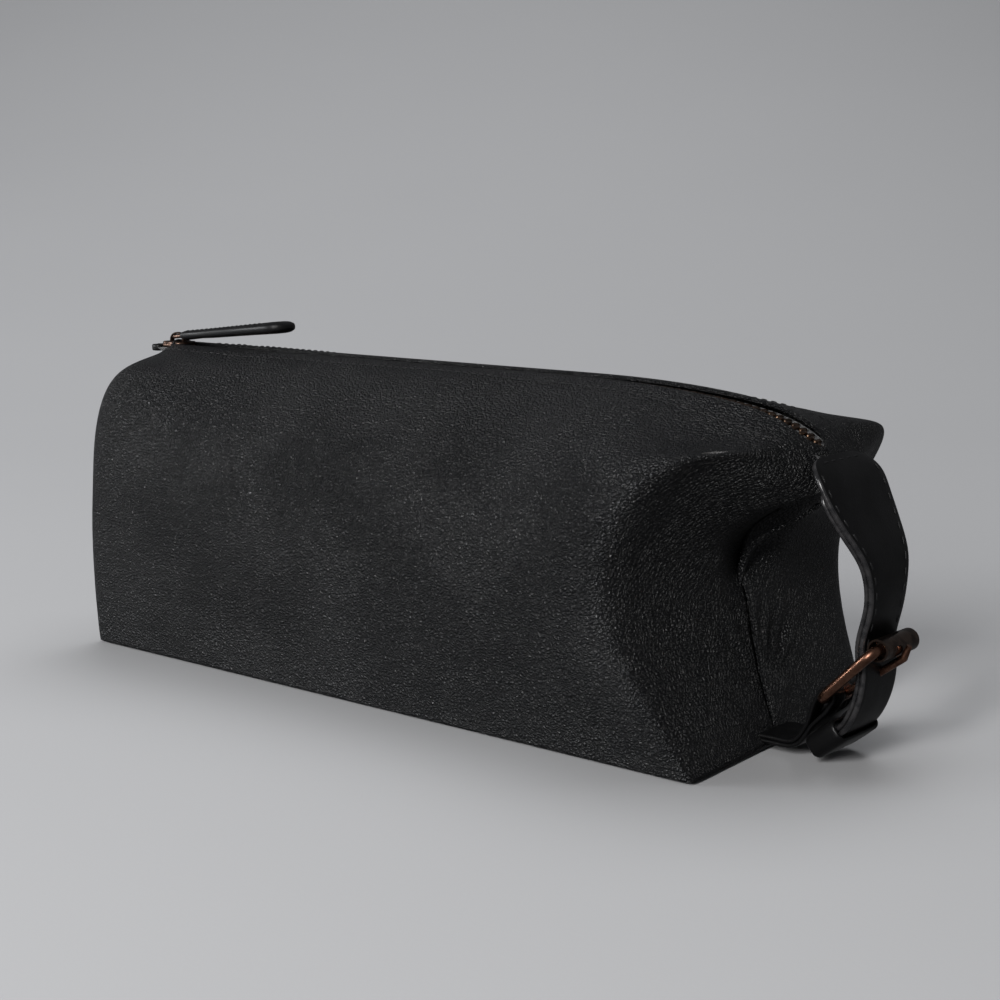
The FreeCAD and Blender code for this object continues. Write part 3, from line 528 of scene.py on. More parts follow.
LEATHER = pebbled_leather()
STRAP = smooth_leather("strap_leather_black", 0.0030, 0.36)
PULL = smooth_leather("pull_leather_black", 0.0055, 0.42)
EDGE = edge_paint()
TAPE = woven("zip_tape_weave", (0.012, 0.012, 0.014), 900, True)
CLOTH = woven("lining_weave", (0.045, 0.043, 0.042), 1100, False)
THREAD = thread_material()
TOOTH_METAL = metal("tooth_brass", (0.21, 0.13, 0.085), (0.05, 0.033, 0.024), 0.30)
SLIDER_METAL = metal("slider_brass", (0.16, 0.10, 0.075), (0.05, 0.033, 0.026), 0.34)
BUCKLE_METAL = metal("buckle_copper_brass", (0.34, 0.175, 0.115), (0.14, 0.068, 0.046), 0.24)
ROLLER_METAL = metal("roller_bronze", (0.125, 0.088, 0.070), (0.045, 0.031, 0.026), 0.22)
BOARD = fibre_board()

# ---------------------------------------------------------------- hide and lining, one skin per side

SKIN_STEP = 1.5
U_EVEN = even(surface(np.linspace(0, LAST_U, 900), np.array([1.6]))[:, 0], SKIN_STEP) * LAST_U
V_EVEN = even(surface(np.array([6.0]), np.linspace(0, LAST_V, 500))[0], SKIN_STEP) * LAST_V
SAG = waves(7, 14, 95)
DENTS = waves(11, 18, 38)
RIPPLE = waves(23, 20, 11)
FOLD_DEPTH = {-1: 3.0, 1: 7.0}          # of the pulled-in centre seam, by end


def sculpt(p, u, v, near):
    """How far each point of the skin moves along its normal.  near is True for the front half."""
    x, y, z = p[..., 0], p[..., 1], p[..., 2]
    inside = smooth(z / 14) * smooth((LAST_V - v) / 0.35)
    wall = np.exp(-((u - 6.0) / 4.2) ** 6)
    offset = 0.75 if near else -0.4
    move = inside * (0.9 * SAG(p + offset * 40) + 0.38 * DENTS(p + offset * 17) * (0.35 + 0.65 * wall))
    # the sewn centre seams pull the ends in: a deep soft fold up high, a fine line lower down
    for end in (-1, 1):
        on_end = smooth((end * x - 100) / 10) * smooth(z / 10)
        high = smooth((z - 42) / 24) * smooth((86 - z) / 12)
        fold = FOLD_DEPTH[end] * high * np.exp(-(y / (5 + 5 * high)) ** 2)
        move = move - on_end * (fold + 0.12 * np.exp(-(y / 0.9) ** 2))
    # the leather gathers where the handle end is folded in
    right = smooth((x - 104) / 14) * smooth((36 - np.abs(y)) / 16)
    fan_y, fan_z = np.abs(y) + 3.0, z - 12.0
    angle = np.arctan2(fan_z, fan_y)
    reach = np.hypot(fan_y, fan_z)
    folds = np.sin(angle * (23 if near else 27) + 0.6 * SAG(p)) * smooth((reach - 9) / 14)
    folds = folds * smooth((46 - reach) / 26) * smooth((angle - 0.25) / 0.4) * smooth((1.5 - angle) / 0.3)
    move = move + right * (0.42 * folds + 0.22 * RIPPLE(p) * inside)
    left = smooth((-x - 112) / 14) * smooth((34 - np.abs(y)) / 16)
    move = move + left * 0.22 * RIPPLE(p) * inside
    # soft wrinkles on the near wall's lower right quarter
    low_right = smooth((x - 20) / 60) * smooth((z - 4) / 14) * smooth((52 - z) / 22) * smooth((132 - x) / 24)
    move = move + wall * low_right * 0.22 * np.sin((z - 0.42 * x) * 0.75 + 1.7 * SAG(p * 2.2))
    return move


def skin(near):
    """The outer grid of points of one half and its normals."""
    p = surface(U_EVEN, V_EVEN, near)
    n = normals(np.clip(U_EVEN, 2e-3, LAST_U - 2e-3), np.clip(V_EVEN, 2e-3, LAST_V - 2e-3), near)
    if n[len(U_EVEN) // 2, 10, 1] > 0:
        n = -n
    n[:2, :, 1] = 0
    n[-2:, :, 1] = 0
    n /= np.linalg.norm(n, axis=2, keepdims=True)
    u, v = np.meshgrid(U_EVEN, V_EVEN, indexing="ij")
    p = p + n * sculpt(p, u, v, near)[..., None]
    p[..., 1] = np.minimum(p[..., 1], -0.05)
    return p, n


LENS_START, LENS_END, SHOULDER_V = -95, 86, 1.9     # the lens starts past the tip of the pull


def mouth_share(p, v):
    """How far each point goes with its lip: a lens along the zip, and a rise from the shoulder."""
    x = p[..., 0] / MM
    along = smooth((x - LENS_START) / 60) * smooth((LENS_END - x) / 80)
    return along * smooth((v - SHOULDER_V) / 0.75)


def both_faces(top, v):
    """The lip's share for every vertex of a thick grid."""
    return np.tile(mouth_share(top * MM, v).reshape(-1), 2)


def attach_half(obj, near, weights, slot, *parts):
    """A piece of one half, its transform baked in, and the CAD nodes of its half it replaces; its weights for
    bending with the lip are not used.
    """
    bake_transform(obj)
    if parts:
        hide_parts(*[HALF_NAMES[near] + "_" + part for part in parts])


def half_skin(near):
    """The hide of one half: foot fold, wall, ends and the edge turned under beside the zip."""
    p, n = skin(near)
    # the foot: the leather turns under the base in a small fold and runs to the centre line
    foot = p[:, :1]
    centre = foot * [0.9, 0.0, 0.0] + [0, -0.05, 0]
    direction = centre - foot
    reach = np.linalg.norm(direction, axis=2, keepdims=True)
    direction = direction / reach
    base = []
    for inset, lift in ((1.0, 0.0), (0.5, 0.12), (0.15, 0.5)):
        base.append(foot + direction * inset + [0, 0, lift])
    deep = [foot + direction * (1.0 + (reach - 1.0) * t) for t in (1.0, 0.8, 0.6, 0.4, 0.2, 0.08)]
    rise = np.zeros(p.shape)
    rise[..., 2] = 0.45 * np.exp(-(V_EVEN / 0.09) ** 2)
    p = p + rise * np.exp(-(V_EVEN / 0.05) ** 2)[None, :, None]
    top = np.concatenate(deep + base + [p], axis=1)
    n_base = np.zeros_like(foot) + [0, 0, -1.0]
    n_fold = n[:, :1] + [0, 0, -0.8]
    n_fold = n_fold / np.linalg.norm(n_fold, axis=2, keepdims=True)
    norm = np.concatenate([n_base] * 8 + [n_fold] + [n], axis=1)
    vs = np.concatenate([np.zeros(9), V_EVEN])
    # the edge beside the zip is turned under to a smooth roll
    bottom = top - norm * HIDE
    edge, under = top[:, -1:], bottom[:, -1:]
    middle = 0.5 * (edge + under)
    inward = np.zeros_like(edge)
    tangent = np.gradient(edge[:, 0], axis=0)
    inward[:, 0] = np.cross(tangent, n[:, -1])
    inward /= np.maximum(np.linalg.norm(inward, axis=2, keepdims=True), 1e-9)
    if inward[len(U_EVEN) // 2, 0, 1] < 0:
        inward = -inward
    roll = [middle + 0.5 * (edge - under) * math.cos(a) + inward * 0.9 * math.sin(a)
            for a in (math.radians(30), math.radians(60), math.radians(90))]
    roll_under = [middle + 0.5 * (edge - under) * math.cos(a) + inward * 0.9 * math.sin(a)
                  for a in (math.radians(150), math.radians(120), math.radians(92))]
    top = np.concatenate([top] + roll, axis=1)
    bottom = np.concatenate([bottom] + roll_under, axis=1)
    vs = np.concatenate([vs, [LAST_V] * 3])
    bottom[..., 1] = np.minimum(bottom[..., 1], -0.05)
    bottom[..., 2] = np.maximum(bottom[..., 2], 0.0)
    top[..., 1] = np.minimum(top[..., 1], -0.04)
    top, bottom = mirrored(near, top, bottom)
    obj = thick_grid("hide_" + HALF_NAMES[near], top, bottom, LEATHER, flip=not near)
    v_all = np.tile(vs, (len(U_EVEN), 1))
    attach_half(obj, near, both_faces(top, v_all), "hide",
                "wall", "lip", "wing_left", "wing_right", "end_fold_left", "end_fold_right")
    return p, n


def half_lining(near, p, n):
    """Loose cotton lining just inside the hide, sewn to the tape below the leather edge."""
    keep_u = (U_EVEN > 0.12) & (U_EVEN < LAST_U - 0.12)
    keep_v = (V_EVEN > 0.10) & (V_EVEN < LINING_TOP_V)
    index_u, index_v = np.flatnonzero(keep_u)[::2], np.flatnonzero(keep_v)[::2]
    q, m = p[np.ix_(index_u, index_v)], n[np.ix_(index_u, index_v)]
    slack = 0.5 + 0.35 * RIPPLE(q * 0.6)
    top = q - m * (LINING_DEPTH + slack)[..., None]
    bottom = top - m * LINING
    top[..., 1] = np.minimum(top[..., 1], -2.2)
    bottom[..., 1] = np.minimum(bottom[..., 1], -2.2)
    top, bottom = mirrored(near, top, bottom)
    obj = thick_grid("lining_" + HALF_NAMES[near], top, bottom, CLOTH, flip=not near)
    v_all = np.tile(V_EVEN[index_v], (len(index_u), 1))
    attach_half(obj, near, both_faces(top, v_all), "lining_cloth", "lining", "lip_lining")


def stitches(name, spots, material, length, width, height):
    """Short sewn stitches.  spots lists (position, direction, normal) in mm."""
    ring = 8
    sections = 7
    verts, faces = [], []
    for place, along, up in spots:
        along, up = unit(np.asarray(along, float)), unit(np.asarray(up, float))
        side = np.cross(along, up)
        start = len(verts)
        for i in range(sections):
            t = -1 + 2 * i / (sections - 1)
            fat = math.sqrt(max(1 - t ** 4, 0.05))
            sink = -0.55 * height * t ** 4
            for c, s in circle(ring):
                q = (np.asarray(place) + along * (0.5 * length * t) + side * (0.5 * width * fat * c)
                     + up * (0.5 * height * fat * s + sink))
                verts.append(q * MM)
        faces += grid_faces(sections, ring, start, False, True)
        faces.append(tuple(start + j for j in range(ring))[::-1])
        faces.append(tuple(start + (sections - 1) * ring + j for j in range(ring)))
    return mesh_object(name, verts, faces, material)


def stitch_row(points, ups, pitch):
    """Spots at an even pitch along a line of points, with the surface's normals."""
    run = arc_lengths(points)
    spots = []
    for s in np.arange(pitch / 2, run[-1] - pitch / 3, pitch):
        place = np.array([np.interp(s, run, points[:, k]) for k in range(3)])
        ahead = np.array([np.interp(s + 0.4, run, points[:, k]) for k in range(3)])
        up = np.array([np.interp(s, run, ups[:, k]) for k in range(3)])
        spots.append((place, ahead - place, up))
    return spots


def zip_stitching(near, p, n):
    """The row of topstitching along the leather edge beside the zip."""
    column = int(np.argmin(np.abs(V_EVEN - TOPSTITCH_V)))
    rows = (U_EVEN > 1.2) & (U_EVEN < LAST_U - 1.6)
    points, ups = mirrored(near, p[rows, column], n[rows, column])
    spots = stitch_row(points + ups * 0.12, ups, 3.6)
    obj = stitches("topstitch_" + HALF_NAMES[near], spots, THREAD, 2.7, 0.62, 0.5)
    co = np.array([v.co for v in obj.data.vertices])
    attach_half(obj, near, mouth_share(co, np.full(len(co), LAST_V)), "hide")


for near in (True, False):
    points, point_normals = half_skin(near)
    half_lining(near, points, point_normals)
    zip_stitching(near, points, point_normals)

# ---------------------------------------------------------------- zip: tape, teeth, ends


def chain_z(x):
    return edge_height(x) - CHAIN_DROP


def zip_tape(near):
    """Woven tape from the teeth's cord bead out to where it is sewn under the leather."""
    side = -1 if near else 1
    xs = np.arange(ZIP_START_X, ZIP_END_X + 0.1, 2.0)
    profile = [(0.9, 0.0, 0.62), (1.3, 0.0, 0.66), (1.9, 0.0, 0.5), (2.6, 0, 0.36), (4.0, 0, 0.36),
               (5.5, 0, 0.36), (7.0, -0.25, 0.36), (8.8, -0.9, 0.36), (10.4, -1.5, 0.36)]
    top = np.zeros((len(xs), len(profile), 3))
    bottom = top.copy()
    narrow = smooth((xs - (ZIP_START_X - 2)) / 14) * smooth((62 - xs) / 30)
    for j, (y, drop, thick) in enumerate(profile):
        w = 5.6 + (y - 5.6) * narrow if y > 5.6 else y
        z = chain_z(xs) + drop * narrow
        top[:, j] = np.stack([xs, side * w * np.ones_like(xs), z + thick / 2], axis=1)
        bottom[:, j] = np.stack([xs, side * w * np.ones_like(xs), z - thick / 2], axis=1)
    obj = thick_grid("zip_tape_" + HALF_NAMES[near], top, bottom, TAPE, flip=not near)
    attach_half(obj, near, both_faces(top, np.full(top.shape[:2], LAST_V)), "zip_tape",
                "tape_mouth", "tape_left", "tape_right")


def tooth_mesh():
    """One cast tooth of the front row: legs clamped on the tape, a waist and a domed head."""
    half_w = 0.68
    outline = [(-3.15, 0.55), (-2.9, 0.92), (-1.3, 1.08), (-0.9, 1.18), (0.15, 1.18), (0.62, 0.95),
               (0.80, 0.45), (0.80, -0.45), (0.62, -0.95), (0.15, -1.18), (-0.9, -1.18),
               (-1.3, -1.08), (-2.9, -0.92), (-3.15, -0.55)]
    bm = bmesh.new()
    rings = []
    for x, grow in ((-half_w, 0.72), (-half_w * 0.8, 1.0), (half_w * 0.8, 1.0), (half_w, 0.72)):
        rings.append([bm.verts.new((x, -1.15 + (y + 1.15) * grow, z * grow)) for y, z in outline])
    count = len(outline)
    for a, b in zip(rings[:-1], rings[1:]):
        for j in range(count):
            bm.faces.new((a[j], b[j], b[(j + 1) % count], a[(j + 1) % count]))
    bm.faces.new(rings[0])
    bm.faces.new(rings[-1][::-1])
    bmesh.ops.recalc_face_normals(bm, faces=bm.faces)
    # the waist behind the head is pinched along the chain
    for v in bm.verts:
        if -1.5 < v.co.y < -0.6:
            v.co.x *= 0.78
    verts = np.array([v.co for v in bm.verts])
    bm.verts.index_update()
    faces = [tuple(v.index for v in f.verts) for f in bm.faces]
    bm.free()
    return verts, faces


TOOTH = tooth_mesh()


def zip_teeth(near):
    side = 1 if near else -1
    verts, faces, share = [], [], []
    x = ZIP_START_X + 2.5 + (0 if near else 1.5)
    while x < ZIP_END_X - 3:
        slope = math.atan(float(zip_slope(x)))
        turn = np.array(Matrix.Rotation(-slope, 3, "Y"))
        tilt = RNG.normal(0, 0.012, 3)
        points = TOOTH[0] * [1, side, 1]
        points = points + np.cross(tilt, points)
        points = points @ turn.T + [x, 0, float(chain_z(x))]
        start = len(verts)
        verts += list(points * MM)
        faces += [tuple(start + k for k in (f if near else f[::-1])) for f in TOOTH[1]]
        centre = np.array([[x * MM, 0, 0]])
        share += [float(mouth_share(centre, np.array([LAST_V]))[0])] * len(points)
        x += 3.0 * math.cos(slope)
    obj = mesh_object("zip_teeth_" + HALF_NAMES[near], verts, faces, TOOTH_METAL)
    attach_half(obj, near, share, "zip_metal", "teeth_mouth", "teeth_left", "teeth_right")


for near in (True, False):
    zip_tape(near)
    zip_teeth(near)


def rounded_slab(name, half_x, half_y, half_z, radius, material, bevel=None):
    """A soft-cornered slab about the origin, in mm."""
    bm = bmesh.new()
    bmesh.ops.create_cube(bm, size=2.0)
    for v in bm.verts:
        v.co = Vector((v.co.x * half_x, v.co.y * half_y, v.co.z * half_z)) * MM
    upright = [e for e in bm.edges if abs(e.verts[0].co.z - e.verts[1].co.z) > half_z * MM]
    bmesh.ops.bevel(bm, geom=upright, offset=radius * MM, segments=6, affect="EDGES", profile=0.5)
    flat = [e for e in bm.edges if abs(e.verts[0].co.z - e.verts[1].co.z) < 1e-7
            and abs(abs(e.verts[0].co.z) - half_z * MM) < 1e-7
            and len(e.link_faces) == 2
            and any(abs(f.normal.z) < 0.5 for f in e.link_faces)]
    soft = bevel if bevel is not None else 0.45 * half_z
    bmesh.ops.bevel(bm, geom=flat, offset=soft * MM, segments=3, affect="EDGES", profile=0.5)
    obj = bmesh_object(name, bm, material)
    shade(obj)
    return obj


def place_on_chain(obj, x):
    slope = math.atan(float(zip_slope(x)))
    obj.data.transform(Matrix.Translation((x * MM, 0, float(chain_z(x)) * MM))
                       @ Matrix.Rotation(-slope, 4, "Y"))


end_tab = rounded_slab("zip_end_fold", 2.6, 6.6, 1.3, 2.2, STRAP)
place_on_chain(end_tab, ZIP_START_X - 1.6)
attach(end_tab, "bag", "strap_leather", "zip_end_tab")
tab_spots = []
for y in (-4.2, -1.4, 1.4, 4.2):
    tab_spots.append(((ZIP_START_X - 1.4, y, float(chain_z(ZIP_START_X)) + 1.42), (0, 1, 0), (0, 0, 1)))
tab_stitch = stitches("zip_end_stitches", tab_spots, THREAD, 2.0, 0.5, 0.4)
attach(tab_stitch, "bag", "strap_leather")


# ---------------------------------------------------------------- seam allowances and end caps

def seam_bar(name, end, v_low, v_high, half_width, set_back, depth, material):
    """A rounded bar that follows the middle of an end inside the bag."""
    vs = np.linspace(v_low, v_high, 40)
    line = surface(np.array([0.0, LAST_U])[end:end + 1], vs)[0]
    inward = (1, -1)[end]
    sections = []
    for q in line:
        ring = []
        for c, s in circle(16):
            dx = 0.5 * depth * (1 + squarish(c, 0.5))
            ring.append((q[0] + inward * (set_back + dx), half_width * squarish(s, 0.5), q[2]))
        sections.append(ring)
    return loft(name, sections, material)


for end, label in enumerate(("left", "right")):
    bar = seam_bar("seam_allowance_" + label, end, 0.2, 3.2, 1.2, 2.6, 2.6, LEATHER)
    attach(bar, "bag", "hide", "end_seam_" + label)
    cap = seam_bar("zip_end_cap_" + label, end, 3.5, 3.75, 4.2, 2.6, 3.0, LEATHER)
    attach(cap, "bag", "hide", "end_cap_" + label)

# ---------------------------------------------------------------- base

base_cloth = rounded_slab("base_cloth", 129.0, 48.6, 0.4, 6.0, CLOTH)
base_cloth.data.transform(Matrix.Translation((-6.0 * MM, 0, 3.9 * MM)))
for v in base_cloth.data.vertices:
    ripple = 0.25 * RIPPLE(np.array([v.co]) * 1000 * 0.5)[0]
    v.co.z += abs(ripple) * MM
attach(base_cloth, "bag", "lining_cloth", "base_lining")


def flat_panel(name, half_x, half_y, centre_x, low, high, step, material):
    xs = np.linspace(centre_x - half_x, centre_x + half_x, int(2 * half_x / step))
    ys = np.linspace(-half_y, half_y, int(2 * half_y / step))
    x, y = np.meshgrid(xs, ys, indexing="ij")
    edge = np.minimum(half_x - np.abs(x - centre_x), half_y - np.abs(y))
    soft = 0.5 * np.exp(-(edge / 1.2) ** 2)
    top = np.stack([x, y, high - soft + 0 * x], axis=-1)
    bottom = np.stack([x, y, low + soft * 0.6 + 0 * x], axis=-1)
    return thick_grid(name, top, bottom, material)


base_piece = flat_panel("base_leather", 138.5, 52.3, -6.0, 0.35, 1.55, 3.0, LEATHER)
attach(base_piece, "bag", "hide", "base_panel")

# ---------------------------------------------------------------- handle strap

STRAP_PATH = np.array([
    (149.8, 95.6), (153.2, 92.6), (156.4, 88.6), (159.0, 83.6), (161.6, 78.9), (164.2, 74.5),
    (166.9, 69.9), (168.8, 65.6), (170.0, 58.0), (169.0, 47.5), (167.2, 38.8), (167.8, 30.5),
    (167.0, 23.0), (164.6, 16.0), (160.9, 10.4), (156.3, 6.5), (151.6, 2.6), (150.1, 1.4),
])
STRAP_WIDTH, HEAD_WIDTH = 21.0, 38.5
STRAP_OUTER, STRAP_INNER, PLY_GAP = 1.8, 1.5, 0.1
PRONG_HOLE_Z, SPARE_HOLE_Z = 28.4, 53.5
HEAD_CORNER = 10.0


def natural_spline(points, samples):
    """A smooth curve through the points (cubic, chord-length spacing) as samples and tangents."""
    t = arc_lengths(points)
    n = len(t)
    h = np.diff(t)
    a = np.eye(n)
    r = np.zeros((n, points.shape[1]))
    for i in range(1, n - 1):
        a[i, i - 1], a[i, i], a[i, i + 1] = h[i - 1], 2 * (h[i - 1] + h[i]), h[i]
        r[i] = 6 * ((points[i + 1] - points[i]) / h[i] - (points[i] - points[i - 1]) / h[i - 1])
    m = np.linalg.solve(a, r)
    s = np.asarray(samples) * t[-1]
    k = np.clip(np.searchsorted(t, s, side="right") - 1, 0, n - 2)
    d0, d1, w = (t[k + 1] - s)[:, None], (s - t[k])[:, None], h[k][:, None]
    value = (m[k] * d0 ** 3 + m[k + 1] * d1 ** 3) / (6 * w)
    value = value + (points[k] / w - m[k] * w / 6) * d0 + (points[k + 1] / w - m[k + 1] * w / 6) * d1
    slope = (-m[k] * d0 ** 2 + m[k + 1] * d1 ** 2) / (2 * w)
    slope = slope - (points[k] / w - m[k] * w / 6) + (points[k + 1] / w - m[k + 1] * w / 6)
    return value, slope / np.linalg.norm(slope, axis=1, keepdims=True)


STRAP_LENGTH = float(np.linalg.norm(np.diff(natural_spline(STRAP_PATH, np.linspace(0, 1, 400))[0], axis=0),
                                    axis=1).sum())


def strap_half_width(s):
    """Half width at shares s of the strap's length: the head narrows into the strap."""
    taper = smooth((s - 0.09) / 0.40)
    return 0.5 * (HEAD_WIDTH + (STRAP_WIDTH - HEAD_WIDTH) * taper)


def band(name, start, end, depth, thickness, trim, radii, material, edge_material, crown=0.35):
    """One ply of the strap: a rounded-edge band that follows the strap's path."""
    s = np.linspace(start, end, 150)
    fine = np.linspace(0, 1, 12)[1:-1]
    for limit, radius in ((start, radii[0]), (end, radii[1])):
        if radius:
            sign = 1 if limit == start else -1
            s = np.concatenate([s, limit + sign * radius / STRAP_LENGTH * (1 - np.cos(fine * math.pi / 2))])
    s = np.unique(np.round(s, 6))
    path, tangent = natural_spline(STRAP_PATH, s)
    half = strap_half_width(s) - trim
    for radius, d in ((radii[0], (s - start) * STRAP_LENGTH), (radii[1], (end - s) * STRAP_LENGTH)):
        if radius:
            short = np.clip(radius - np.maximum(d, 0.05), 0, radius)
            half = half - (radius - np.sqrt(radius ** 2 - short ** 2))
    inward = np.stack([tangent[:, 1], -tangent[:, 0]], axis=1)
    across = np.linspace(-1, 1, 13)
    sections = []
    r = 0.5 * thickness
    for k in range(len(s)):
        w = half[k] - 0.8 * r
        ring = []
        for c in across:                       # outer face, with the creased line beside each edge
            bow = crown * (1 - (c ** 2)) - 0.16 * math.exp(-((abs(c) * w - (w - 2.2)) / 0.45) ** 2)
            ring.append((c * w, depth - 0.5 * bow))
        for a in (30, 60, 90, 120, 150):
            ring.append((w + 0.8 * r * math.sin(math.radians(a)), depth + r - r * math.cos(math.radians(a))))
        for c in across[::-1]:
            ring.append((c * w, depth + thickness))
        for a in (150, 120, 90, 60, 30):
            ring.append((-w - 0.8 * r * math.sin(math.radians(a)), depth + r - r * math.cos(math.radians(a))))
        sections.append([(path[k, 0] + inward[k, 0] * d, y, path[k, 1] + inward[k, 1] * d) for y, d in ring])
    obj = loft(name, sections, material)
    obj.data.materials.append(edge_material)
    cols = len(sections[0])
    face_cols = (12, 13, 14, 15, 16, 17, 30, 31, 32, 33, 34, 35)     # the ring's two rounded edges
    side_faces = (len(s) - 1) * cols
    for index, f in enumerate(obj.data.polygons):
        if index >= side_faces or index % cols in face_cols:
            f.material_index = 1
    return obj


def cut(obj, tool):
    mod = obj.modifiers.new("cut", "BOOLEAN")
    mod.operation = "DIFFERENCE"
    mod.solver = "EXACT"
    mod.object = tool
    apply_modifiers(obj)
    bpy.data.objects.remove(tool)


def strap_at(z):
    s = np.linspace(0, 1, 600)
    path, tangent = natural_spline(STRAP_PATH, s)
    k = int(np.argmin(np.abs(path[:, 1] - z)))
    return path[k], tangent[k], s[k]


def punch(z, half_long, half_wide):
    """An oval cutter through both plies of the strap at a height."""
    place, tangent, _ = strap_at(z)
    bm = bmesh.new()
    bmesh.ops.create_cone(bm, cap_ends=True, segments=28, radius1=1.0, radius2=1.0, depth=14)
    for v in bm.verts:
        v.co = Vector((v.co.z, v.co.y * half_wide, v.co.x * half_long)) * MM
    tool = bmesh_object("punch", bm)
    tilt = math.atan2(tangent[0], tangent[1])
    tool.data.transform(Matrix.Translation((place[0] * MM, 0, place[1] * MM)) @ Matrix.Rotation(tilt, 4, "Y"))
    return tool


strap = band("strap_outer_ply", 0.0, 1.0, 0.0, STRAP_OUTER, 0.0, (HEAD_CORNER, 3.0), STRAP, EDGE)
backing = band("strap_inner_ply", 0.10, 1.0, STRAP_OUTER + PLY_GAP, STRAP_INNER, 0.4, (5.0, 3.0),
               STRAP, EDGE, 0.0)
for ply in (strap, backing):
    cut(ply, punch(PRONG_HOLE_Z, 5.0, 2.3))
    cut(ply, punch(SPARE_HOLE_Z, 2.0, 1.9))
    shade(ply)
    attach(ply, "bag", "strap_leather")
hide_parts("handle_strap")
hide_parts("handle_strap_backing")


def strap_edge_row(s_low, s_high, inset, side):
    s = np.linspace(s_low, s_high, 200)
    path, tangent = natural_spline(STRAP_PATH, s)
    half = strap_half_width(s) - inset
    short = np.clip(HEAD_CORNER - s * STRAP_LENGTH, 0, HEAD_CORNER)
    half = half - (HEAD_CORNER - np.sqrt(HEAD_CORNER ** 2 - short ** 2))
    outward_normal = np.stack([-tangent[:, 1], 0 * s, tangent[:, 0]], axis=1)
    points = np.stack([path[:, 0], side * half, path[:, 1]], axis=1) + outward_normal * 0.05
    return stitch_row(points, outward_normal, 5.0)


strap_spots = []
for side in (-1, 1):
    strap_spots += strap_edge_row(0.05, 0.62, 2.4, side)
place, tangent = natural_spline(STRAP_PATH, np.array([0.022]))
for y in (-9, -4.5, 0, 4.5, 9):
    strap_spots.append(((place[0, 0], y, place[0, 1] + 0.1), (0, 1, 0), (-tangent[0, 1], 0, tangent[0, 0])))
strap_stitches = stitches("strap_stitches", strap_spots, THREAD, 3.3, 0.75, 0.6)
attach(strap_stitches, "bag", "strap_leather")

# ---------------------------------------------------------------- buckle, its tab and the keeper

HEEL = np.array([154.0, 0.0, 21.0])
WIRE = 1.7
for node, material in (("buckle_frame", BUCKLE_METAL), ("buckle_roller", ROLLER_METAL),
                       ("buckle_prong", BUCKLE_METAL), ("base_board", BOARD)):
    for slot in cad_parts[node].material_slots:
        slot.material = material


def swept_tab():
    """The tab: a leather strip folded round the heel bar, its plies sewn under the bag's end."""
    middle = np.array([(154.0, 21.0), (151.0, 16.0), (148.2, 11.2), (145.9, 7.4), (143.0, 4.4), (137.5, 3.6),
                       (129.5, 3.6)])
    inner, leather = WIRE + 0.12, 1.4
    share = np.linspace(0.10, 1.0, 26)
    path, slope = natural_spline(middle, share)
    spread_out = 0.5 * leather + 0.05 + (inner - 0.05) * (1 - smooth((share - 0.08) / 0.30))
    right = np.stack([slope[:, 1], -slope[:, 0]], axis=1) * -1
    lower = path + right * spread_out[:, None]
    upper = path - right * spread_out[:, None]
    root = natural_spline(middle, np.array([0.10]))[0][0] - middle[0]
    along = unit(root)
    across = np.array([-along[1], along[0]])
    if across @ right[0] < 0:
        across = -across
    line = [(x, 0, z) for x, z in lower[::-1]]
    for a in np.linspace(80, -80, 18):
        r = inner + 0.5 * leather
        q = middle[0] - along * r * math.cos(math.radians(a)) + across * r * math.sin(math.radians(a))
        line.append((q[0], 0, q[1]))
    line += [(x, 0, z) for x, z in upper]
    line = np.array(line)
    tangent = np.gradient(line, axis=0)
    tangent /= np.linalg.norm(tangent, axis=1, keepdims=True)
    side = np.stack([tangent[:, 2], 0 * tangent[:, 0], -tangent[:, 0]], axis=1)
    half_width = 9.5
    sections = []
    for k in range(len(line)):
        ring = []
        w = half_width - 0.6
        r = 0.5 * leather
        for c in np.linspace(-1, 1, 11):
            ring.append(line[k] + side[k] * r + np.array([0, c * w, 0]))
        for a in (45, 90, 135):
            ring.append(line[k] + side[k] * r * math.cos(math.radians(a))
                        + np.array([0, w + 0.6 * math.sin(math.radians(a)), 0]))
        for c in np.linspace(1, -1, 11):
            ring.append(line[k] - side[k] * r + np.array([0, c * w, 0]))
        for a in (135, 90, 45):
            ring.append(line[k] + side[k] * r * math.cos(math.radians(a))
                        - np.array([0, w + 0.6 * math.sin(math.radians(a)), 0]))
        sections.append(ring)
    tab = loft("buckle_tab_leather", sections, STRAP)
    bm = bmesh.new()
    bmesh.ops.create_cube(bm, size=1.0)
    for v in bm.verts:
        v.co = Vector((v.co.x * 14, v.co.y * 5.0, v.co.z * 12)) * MM + Vector(HEEL) * MM
    cut(tab, bmesh_object("slot", bm))
    shade(tab)
    return tab


tab = swept_tab()
attach(tab, "bag", "strap_leather", "buckle_tab")


